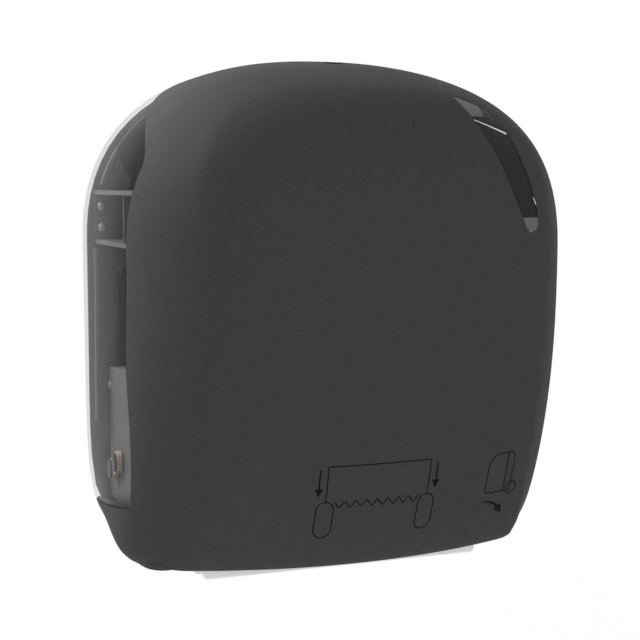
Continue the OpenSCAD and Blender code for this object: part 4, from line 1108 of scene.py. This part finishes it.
def arrow_head(x, z, turn, reach):
    """Filled arrow head whose tip is at x and z and which points along turn"""
    way = math.radians(turn)
    tail = (x - reach * math.cos(way), z - reach * math.sin(way))
    return [tail, (x, z)], (reach * ARROW_WIDE, ARROW_TIP)


TOWEL_TOP = -0.1385
TOWEL_TORN = -0.1640
TOWEL_HALF = 0.0365
TORN_HALF = 0.0305
TEETH = 8
TOOTH = 0.0050
PULL_X = 0.0420
PULL_TOP = TOWEL_TOP - 0.002
PULL_LOW = TOWEL_TORN + 0.009
PULL_TIP = TOWEL_TORN + 0.004
PULL_HEAD = 0.006
TAB_RADIUS = 0.006
TAB_LONG = 0.015


def towel_sign():
    """Strokes of a towel with a torn lower edge, a downward arrow and a pull tab at each side"""
    sheet = [(-TOWEL_HALF, TOWEL_TORN), (-TOWEL_HALF, TOWEL_TOP), (TOWEL_HALF, TOWEL_TOP),
             (TOWEL_HALF, TOWEL_TORN)]
    zigzag = [(TORN_HALF * (k / TEETH - 1), TOWEL_TORN - TOOTH * (k % 2)) for k in range(2 * TEETH + 1)]
    strokes = [fine(sheet), fine(zigzag)]
    for side in (-1, 1):
        x = side * PULL_X
        strokes.append(([(x, PULL_TOP), (x, PULL_LOW)], (BOLD_LINE, BOLD_LINE)))
        strokes.append(arrow_head(x, PULL_TIP, -90, PULL_HEAD))
        tab_x, tab_z = side * TOWEL_HALF, TOWEL_TORN - TAB_RADIUS
        tab = (arc_points(tab_x, tab_z, TAB_RADIUS, 0, 180)
               + arc_points(tab_x, tab_z - TAB_LONG, TAB_RADIUS, 180, 360))
        strokes.append(fine(tab + tab[:1]))
    return strokes


CASE_LEFT = 0.0845
CASE_RIGHT = 0.1065
CASE_LOW = -0.1705
CASE_HIGH = -0.1405
FRONT_ROUND = 0.010
REAR_ROUND = 0.004
LOW_ROUND = 0.003
REAR_LINE = CASE_RIGHT - 0.006
WHEEL_X = CASE_RIGHT + 0.001
WHEEL_Z = CASE_LOW + 0.002
WHEEL_RADIUS = 0.0046
WHEEL_RIPPLE = 0.0005
WHEEL_RIPPLES = 9
WHEEL_STEPS = 73
SWEEP_X = CASE_LEFT + 0.001
SWEEP_Z = -0.1975
SWEEP_RADIUS = 0.0200
SWEEP_TURNS = (92, 40)
SWEEP_AIM = -52
SWEEP_WIDE = 2.4 * BOLD_LINE
SWEEP_TIP = (0.0034, -0.0044)
SWEEP_HEAD = 0.0080


def wheel_sign():
    """Strokes of a dispenser seen from its side, its feed wheel and a turning arrow"""
    case = (arc_points(CASE_LEFT + FRONT_ROUND, CASE_HIGH - FRONT_ROUND, FRONT_ROUND, 180, 90, 8)
            + [(CASE_RIGHT - REAR_ROUND, CASE_HIGH)]
            + arc_points(CASE_RIGHT - REAR_ROUND, CASE_HIGH - REAR_ROUND, REAR_ROUND, 90, 0, 6)
            + [(CASE_RIGHT, CASE_LOW), (CASE_LEFT + LOW_ROUND, CASE_LOW)]
            + arc_points(CASE_LEFT + LOW_ROUND, CASE_LOW + LOW_ROUND, LOW_ROUND, 270, 180, 5))
    wheel = []
    for turn in np.linspace(0, 2 * math.pi, WHEEL_STEPS):
        radius = WHEEL_RADIUS + WHEEL_RIPPLE * math.cos(WHEEL_RIPPLES * turn)
        wheel.append((WHEEL_X + radius * math.cos(turn), WHEEL_Z + radius * math.sin(turn)))
    sweep = arc_points(SWEEP_X, SWEEP_Z, SWEEP_RADIUS, *SWEEP_TURNS)
    tip = (sweep[-1][0] + SWEEP_TIP[0], sweep[-1][1] + SWEEP_TIP[1])
    return [fine(case + case[:1]), fine([(REAR_LINE, CASE_HIGH), (REAR_LINE, CASE_LOW)]), fine(wheel),
            (sweep, (FINE_LINE, SWEEP_WIDE)), arrow_head(*tip, SWEEP_AIM, SWEEP_HEAD)]


class DISPENSER_OT_printed_signs(bpy.types.Operator):
    """Print plain pictograms for pulling and feeding the towel on the front"""
    bl_idname = "dispenser.printed_signs"
    bl_label = "Printed signs"

    def execute(self, context):
        s = plain_sizes(context.scene.dispenser_shape)
        for name, strokes in (("towel_sign", towel_sign()), ("wheel_sign", wheel_sign())):
            sign = inked_piece(s, name, strokes)
            dress(sign, "ink")
            join_frame(sign, "cover", "charcoal")
        return {"FINISHED"}


# Screws and springs, which repeat or follow a path

def screw_tree():
    """Sets a screw on every point, its head turned along the point's way"""
    tree, given = start_tree("screw_rows", {"screw": "Object"})
    shape = add_node(tree, "GeometryNodeObjectInfo", {"Object": given["screw"]}, transform_space="ORIGINAL")
    turn = add_node(tree, "FunctionNodeAlignRotationToVector",
                    {"Vector": attribute(tree, "way", "FLOAT_VECTOR")}, axis="Z")
    rows = add_node(tree, "GeometryNodeInstanceOnPoints",
                    {"Points": given["Geometry"], "Instance": shape.outputs["Geometry"],
                     "Rotation": turn.outputs["Rotation"]})
    return end_tree(tree, given, rows.outputs["Instances"])


HEAD_TALL = 0.0022
HEAD_WALL = 0.0009
SHANK = 0.00175
TIP_SHANK = 0.00145
TIP_TALL = 0.0004
RECESS_LONG = 0.0042
RECESS_WIDE = 0.0009
RECESS_DEEP = 0.0012
RECESS_PAST = 0.001
SCREW_SIDES = 28


def cross_head_screw(head_radius, whole):
    """Pan head screw along Z with a cross recess, its tip at the origin"""
    seat = whole - HEAD_TALL
    dome = [(head_radius * math.cos(t), seat + HEAD_WALL + (HEAD_TALL - HEAD_WALL) * math.sin(t))
            for t in np.radians(np.linspace(0, 90, 9))]
    profile = [(0.0, 0.0), (TIP_SHANK, 0.0), (SHANK, TIP_TALL), (SHANK, seat),
               (head_radius, seat)] + dome[:-1] + [(0.0, whole)]
    screw = turned_piece("screw_shape", profile, Vector(), SCREW_SIDES)
    arms = []
    for wide, tall in ((RECESS_WIDE, RECESS_LONG), (RECESS_LONG, RECESS_WIDE)):
        bar = [(-wide / 2, -tall / 2), (wide / 2, -tall / 2), (wide / 2, tall / 2), (-wide / 2, tall / 2)]
        arms.append(prism("recess_cutter", bar, -whole - RECESS_PAST, -whole + RECESS_DEEP))
        arms[-1].data.transform(Matrix.Rotation(math.radians(-90), 4, "X"))
    return close_up(cut_away(screw, *arms))


def screw_places(boxes, along, facing):
    """Places of the screws' tips and the ways that their heads face, outwards where facing is 0"""
    spots, ways = [], []
    for low, high in boxes:
        spot, way = (low + high) / 2, Vector()
        way[along] = facing or math.copysign(1, spot[along])
        spot[along] = low[along] if way[along] > 0 else high[along]
        spots.append(spot)
        ways.append(way)
    return spots, ways


class DISPENSER_OT_screws(bpy.types.Operator):
    """Set pan head screws in the frames, the left arm, the mechanism covers and the feed wheel"""
    bl_idname = "dispenser.screws"
    bl_label = "Screws"

    rows = (("frame_screws", "base", "Y", -1), ("arm_screws", "base", "Y", -1),
            ("mechanism_cover_screws", "base", "X", 0), ("feed_wheel_screw", "drum", "X", 1))

    def execute(self, context):
        tree = screw_tree()
        for node, body, axis, facing in self.rows:
            along = "XYZ".index(axis)
            boxes = solid_boxes(node)
            spots, ways = screw_places(boxes, along, facing)
            low, high = boxes[0]
            screw = cross_head_screw((high.z - low.z) / 2, high[along] - low[along])
            piece = new_object(f"{node}_cross_head", spots, [])
            layer = piece.data.attributes.new("way", "FLOAT_VECTOR", "POINT")
            layer.data.foreach_set("vector", np.array(ways, np.float32).ravel())
            run_tree(piece, tree, screw=screw, finish=FINISHES["steel"])
            bpy.data.objects.remove(screw)
            close_up(piece)
            dress(piece, "steel")
            join_frame(piece, body, "steel", node)
        return {"FINISHED"}


RINGS_PER_CURL = 32
WIRE_SIDES = 14
WIRE_SMOOTH = math.radians(50)
TORSION_WIRE = 0.0007
TORSION_CURLS = 4
RETURN_WIRE = 0.0006
RETURN_CURLS = 9
RETURN_COIL = 0.0045
RETURN_LEAD = 0.008
EYE_GAP = 0.00025
EYE_TURNS = np.radians(np.linspace(300, 0, 25))
RIGHT = Vector((1.0, 0.0, 0.0))
REARWARD = Vector((0.0, 1.0, 0.0))


def wire_tree():
    """Sweeps a round wire along a path of edges"""
    tree, given = start_tree("wire_sweep", {"wire_radius": "Float"})
    path = add_node(tree, "GeometryNodeMeshToCurve", {"Mesh": given["Geometry"]})
    ring = add_node(tree, "GeometryNodeCurvePrimitiveCircle",
                    {"Resolution": WIRE_SIDES, "Radius": given["wire_radius"]})
    sweep = add_node(tree, "GeometryNodeCurveToMesh",
                     {"Curve": path.outputs["Curve"], "Profile Curve": ring.outputs["Curve"],
                      "Fill Caps": True})
    return end_tree(tree, given, sweep.outputs["Mesh"])


def coil(start, reach, aside, across, radius, curls):
    """Points of a coil from a place over a reach, which starts aside and turns across"""
    steps = curls * RINGS_PER_CURL
    points = []
    for k in range(steps + 1):
        turn = 2 * math.pi * k / RINGS_PER_CURL
        around = aside * math.cos(turn) + across * math.sin(turn)
        points.append(start + reach * (k / steps) + around * radius)
    return points


def torsion_path():
    """Path of the torsion spring round the right arm's pin, with a leg at each end"""
    pin = middle_of("right_arm_pin")
    low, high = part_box("right_arm_spring")
    start = Vector((pin.x, pin.y, low.z + TORSION_WIRE))
    rise = Vector((0.0, 0.0, high.z - low.z - 2 * TORSION_WIRE))
    turns = coil(start, rise, RIGHT, REARWARD, (high.x - low.x) / 2 - TORSION_WIRE, TORSION_CURLS)
    first = Vector((turns[0].x, low.y, turns[0].z))
    last = Vector((turns[-1].x, high.y, turns[-1].z))
    return [first, first.lerp(turns[0], 0.5)] + turns + [turns[-1].lerp(last, 0.5), last]


def return_path():
    """Path of the return spring from the crank pin to its post, with an eye at each end"""
    pin_low, pin_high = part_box("crank_pin")
    eye = (pin_high.y - pin_low.y) / 2 + RETURN_WIRE + EYE_GAP
    start, end = middle_of("crank_pin"), middle_of("spring_post")
    start.x = end.x = middle_of("return_spring").x
    along = (end - start).normalized()
    aside = RIGHT.cross(along)

    def loop(centre, way):
        return [centre + eye * (along * way * math.sin(-turn) - aside * math.cos(turn)) for turn in EYE_TURNS]
    lead = along * RETURN_LEAD
    turns = coil(start + lead, end - start - lead * 2, -aside, RIGHT, RETURN_COIL, RETURN_CURLS)
    return loop(start, 1) + turns + loop(end, -1)[::-1]


class DISPENSER_OT_springs(bpy.types.Operator):
    """Wind the arm's torsion spring and the crank's return spring"""
    bl_idname = "dispenser.springs"
    bl_label = "Springs"

    def execute(self, context):
        tree = wire_tree()
        for node, path, radius in (("right_arm_spring", torsion_path(), TORSION_WIRE),
                                   ("return_spring", return_path(), RETURN_WIRE)):
            edges = [(k, k + 1) for k in range(len(path) - 1)]
            wire = new_object(f"{node}_wire", path, [], edges)
            run_tree(wire, tree, wire_radius=radius, finish=FINISHES["steel"])
            close_up(wire, WIRE_SMOOTH)
            dress(wire, "steel")
            join_frame(wire, body_of(node), "steel", node)
        return {"FINISHED"}


# Stage

WHITE = (1.0, 1.0, 1.0, 1.0)
LAMP_AIM = (0.0, -0.11, -0.03)
LAMPS = (("key_lamp", (-1.0, 0.9, 1.1), 0.6, "key_power"),
         ("side_lamp", (-0.5, 0.0, 0.3), 0.22, "side_power"),
         ("front_lamp", (0.35, -2.2, 0.55), 1.6, "front_power"))
FLOOR_REACH = 6.0
FLOOR_GLOW = 0.95
GLOW_NEAR = 0.35
GLOW_FAR = 1.1
SENSOR = 36.0


def add_lamp(name, place, size, power):
    lamp = bpy.data.lights.new(name, "AREA")
    lamp.shape = "DISK"
    lamp.size = size
    lamp.energy = power
    stand = bpy.data.objects.new(name, lamp)
    stand.location = place
    stand.rotation_euler = (Vector(LAMP_AIM) - Vector(place)).to_track_quat("-Z", "Y").to_euler()
    bpy.context.scene.collection.objects.link(stand)


def seen_or_mirrored(tree):
    """1 on camera, glossy and transmission rays, and 0 on others"""
    path = add_node(tree, "ShaderNodeLightPath")
    camera, glossy, through = (Field(tree, path.outputs[ray])
                               for ray in ("Is Camera Ray", "Is Glossy Ray", "Is Transmission Ray"))
    return camera.math("MAXIMUM", glossy).math("MAXIMUM", through)


def white_room(strength):
    """World that is white to look at and lights the dispenser evenly"""
    world = bpy.data.worlds.new("white_room")
    tree = empty_tree(world)
    light = add_node(tree, "ShaderNodeBackground", {"Color": WHITE, "Strength": strength})
    white = add_node(tree, "ShaderNodeBackground", {"Color": WHITE, "Strength": 1.0})
    choice = add_node(tree, "ShaderNodeMixShader",
                      {0: seen_or_mirrored(tree), 1: light.outputs[0], 2: white.outputs[0]})
    add_node(tree, "ShaderNodeOutputWorld", {"Surface": choice.outputs[0]})
    bpy.context.scene.world = world


def floor_finish(rgb):
    """Pale floor that looks white and still takes a faint shadow"""
    material = bpy.data.materials.new("pale_floor")
    tree = empty_tree(material)
    place = add_node(tree, "ShaderNodeTexCoord")
    away = add_node(tree, "ShaderNodeVectorMath", {0: place.outputs["Object"]}, operation="LENGTH")
    share = Field(tree, spread_over(tree, away.outputs["Value"], FLOOR_GLOW, 1.0, GLOW_NEAR, GLOW_FAR))
    paint = add_node(tree, "ShaderNodeBsdfDiffuse", {"Color": (*rgb, 1.0)})
    glow = add_node(tree, "ShaderNodeEmission", {"Color": WHITE, "Strength": 1.0})
    blend = add_node(tree, "ShaderNodeMixShader",
                     {0: seen_or_mirrored(tree) * share, 1: paint.outputs[0], 2: glow.outputs[0]})
    add_node(tree, "ShaderNodeOutputMaterial", {"Surface": blend.outputs[0]})
    return material


def add_camera(stage):
    """Camera at the photograph's angle"""
    turn, rise = stage.view_turn, stage.view_rise
    ahead = Vector((math.sin(turn) * math.cos(rise), math.cos(turn) * math.cos(rise), -math.sin(rise)))
    right = Vector((math.cos(turn), -math.sin(turn), 0.0))
    up = right.cross(ahead)
    target = Vector((0.0, -stage.view_depth, -stage.view_drop))
    camera = bpy.data.cameras.new("photo_camera")
    camera.sensor_width = SENSOR
    camera.sensor_fit = "HORIZONTAL"
    camera.lens = stage.focal_pixels * SENSOR / IMAGE_PIXELS
    camera.shift_x = (IMAGE_PIXELS / 2 - stage.axis_x) / IMAGE_PIXELS
    camera.shift_y = (stage.axis_y - IMAGE_PIXELS / 2) / IMAGE_PIXELS
    camera.clip_start = 0.01
    stand = bpy.data.objects.new("photo_camera", camera)
    turned = Matrix((right, up, -ahead)).transposed().to_4x4()
    stand.matrix_world = Matrix.Translation(target - ahead * stage.view_distance) @ turned
    bpy.context.scene.collection.objects.link(stand)
    bpy.context.scene.camera = stand


class DISPENSER_OT_stage(bpy.types.Operator):
    """Set the camera, the soft lamps, the white room and the pale floor"""
    bl_idname = "dispenser.stage"
    bl_label = "Stage"

    def execute(self, context):
        stage = context.scene.dispenser_stage
        context.scene.view_settings.view_transform = "Standard"
        add_camera(stage)
        white_room(stage.room_light)
        for name, place, size, power in LAMPS:
            add_lamp(name, place, size, getattr(stage, power))
        low = CAD_BOX[0][2] - stage.floor_drop
        corners = [(x * FLOOR_REACH, y * FLOOR_REACH, low) for x, y in ((-1, -1), (1, -1), (1, 1), (-1, 1))]
        floor = new_object("pale_floor", corners, [(0, 1, 2, 3)])
        floor.data.materials.append(floor_finish(context.scene.dispenser_colours.floor))
        return {"FINISHED"}


class DISPENSER_PT_panel(bpy.types.Panel):
    """Lists the dispenser's settings and operators"""
    bl_idname = "DISPENSER_PT_panel"
    bl_label = "Roll towel dispenser"
    bl_space_type = "VIEW_3D"
    bl_region_type = "UI"
    bl_category = "Dispenser"

    def draw(self, context):
        for operator in OPERATORS:
            self.layout.operator(operator.bl_idname)
        scene = context.scene
        for group in (scene.dispenser_shape, scene.dispenser_colours, scene.dispenser_stage):
            box = self.layout.box()
            for name in group.__annotations__:
                box.prop(group, name)


OPERATORS = (DISPENSER_OT_finishes, DISPENSER_OT_cover_skin, DISPENSER_OT_side_windows,
             DISPENSER_OT_level_window, DISPENSER_OT_printed_signs, DISPENSER_OT_screws,
             DISPENSER_OT_springs, DISPENSER_OT_stage)
CLASSES = (CoverShape, Colours, StageSizes) + OPERATORS + (DISPENSER_PT_panel,)


def register():
    for cls in CLASSES:
        bpy.utils.register_class(cls)
    bpy.types.Scene.dispenser_shape = PointerProperty(type=CoverShape)
    bpy.types.Scene.dispenser_colours = PointerProperty(type=Colours)
    bpy.types.Scene.dispenser_stage = PointerProperty(type=StageSizes)


def unregister():
    del bpy.types.Scene.dispenser_stage
    del bpy.types.Scene.dispenser_colours
    del bpy.types.Scene.dispenser_shape
    for cls in reversed(CLASSES):
        bpy.utils.unregister_class(cls)


def main():
    register()
    for operator in OPERATORS:
        group, name = operator.bl_idname.split(".")
        getattr(getattr(bpy.ops, group), name)()


if __name__ == "__main__":
    main()
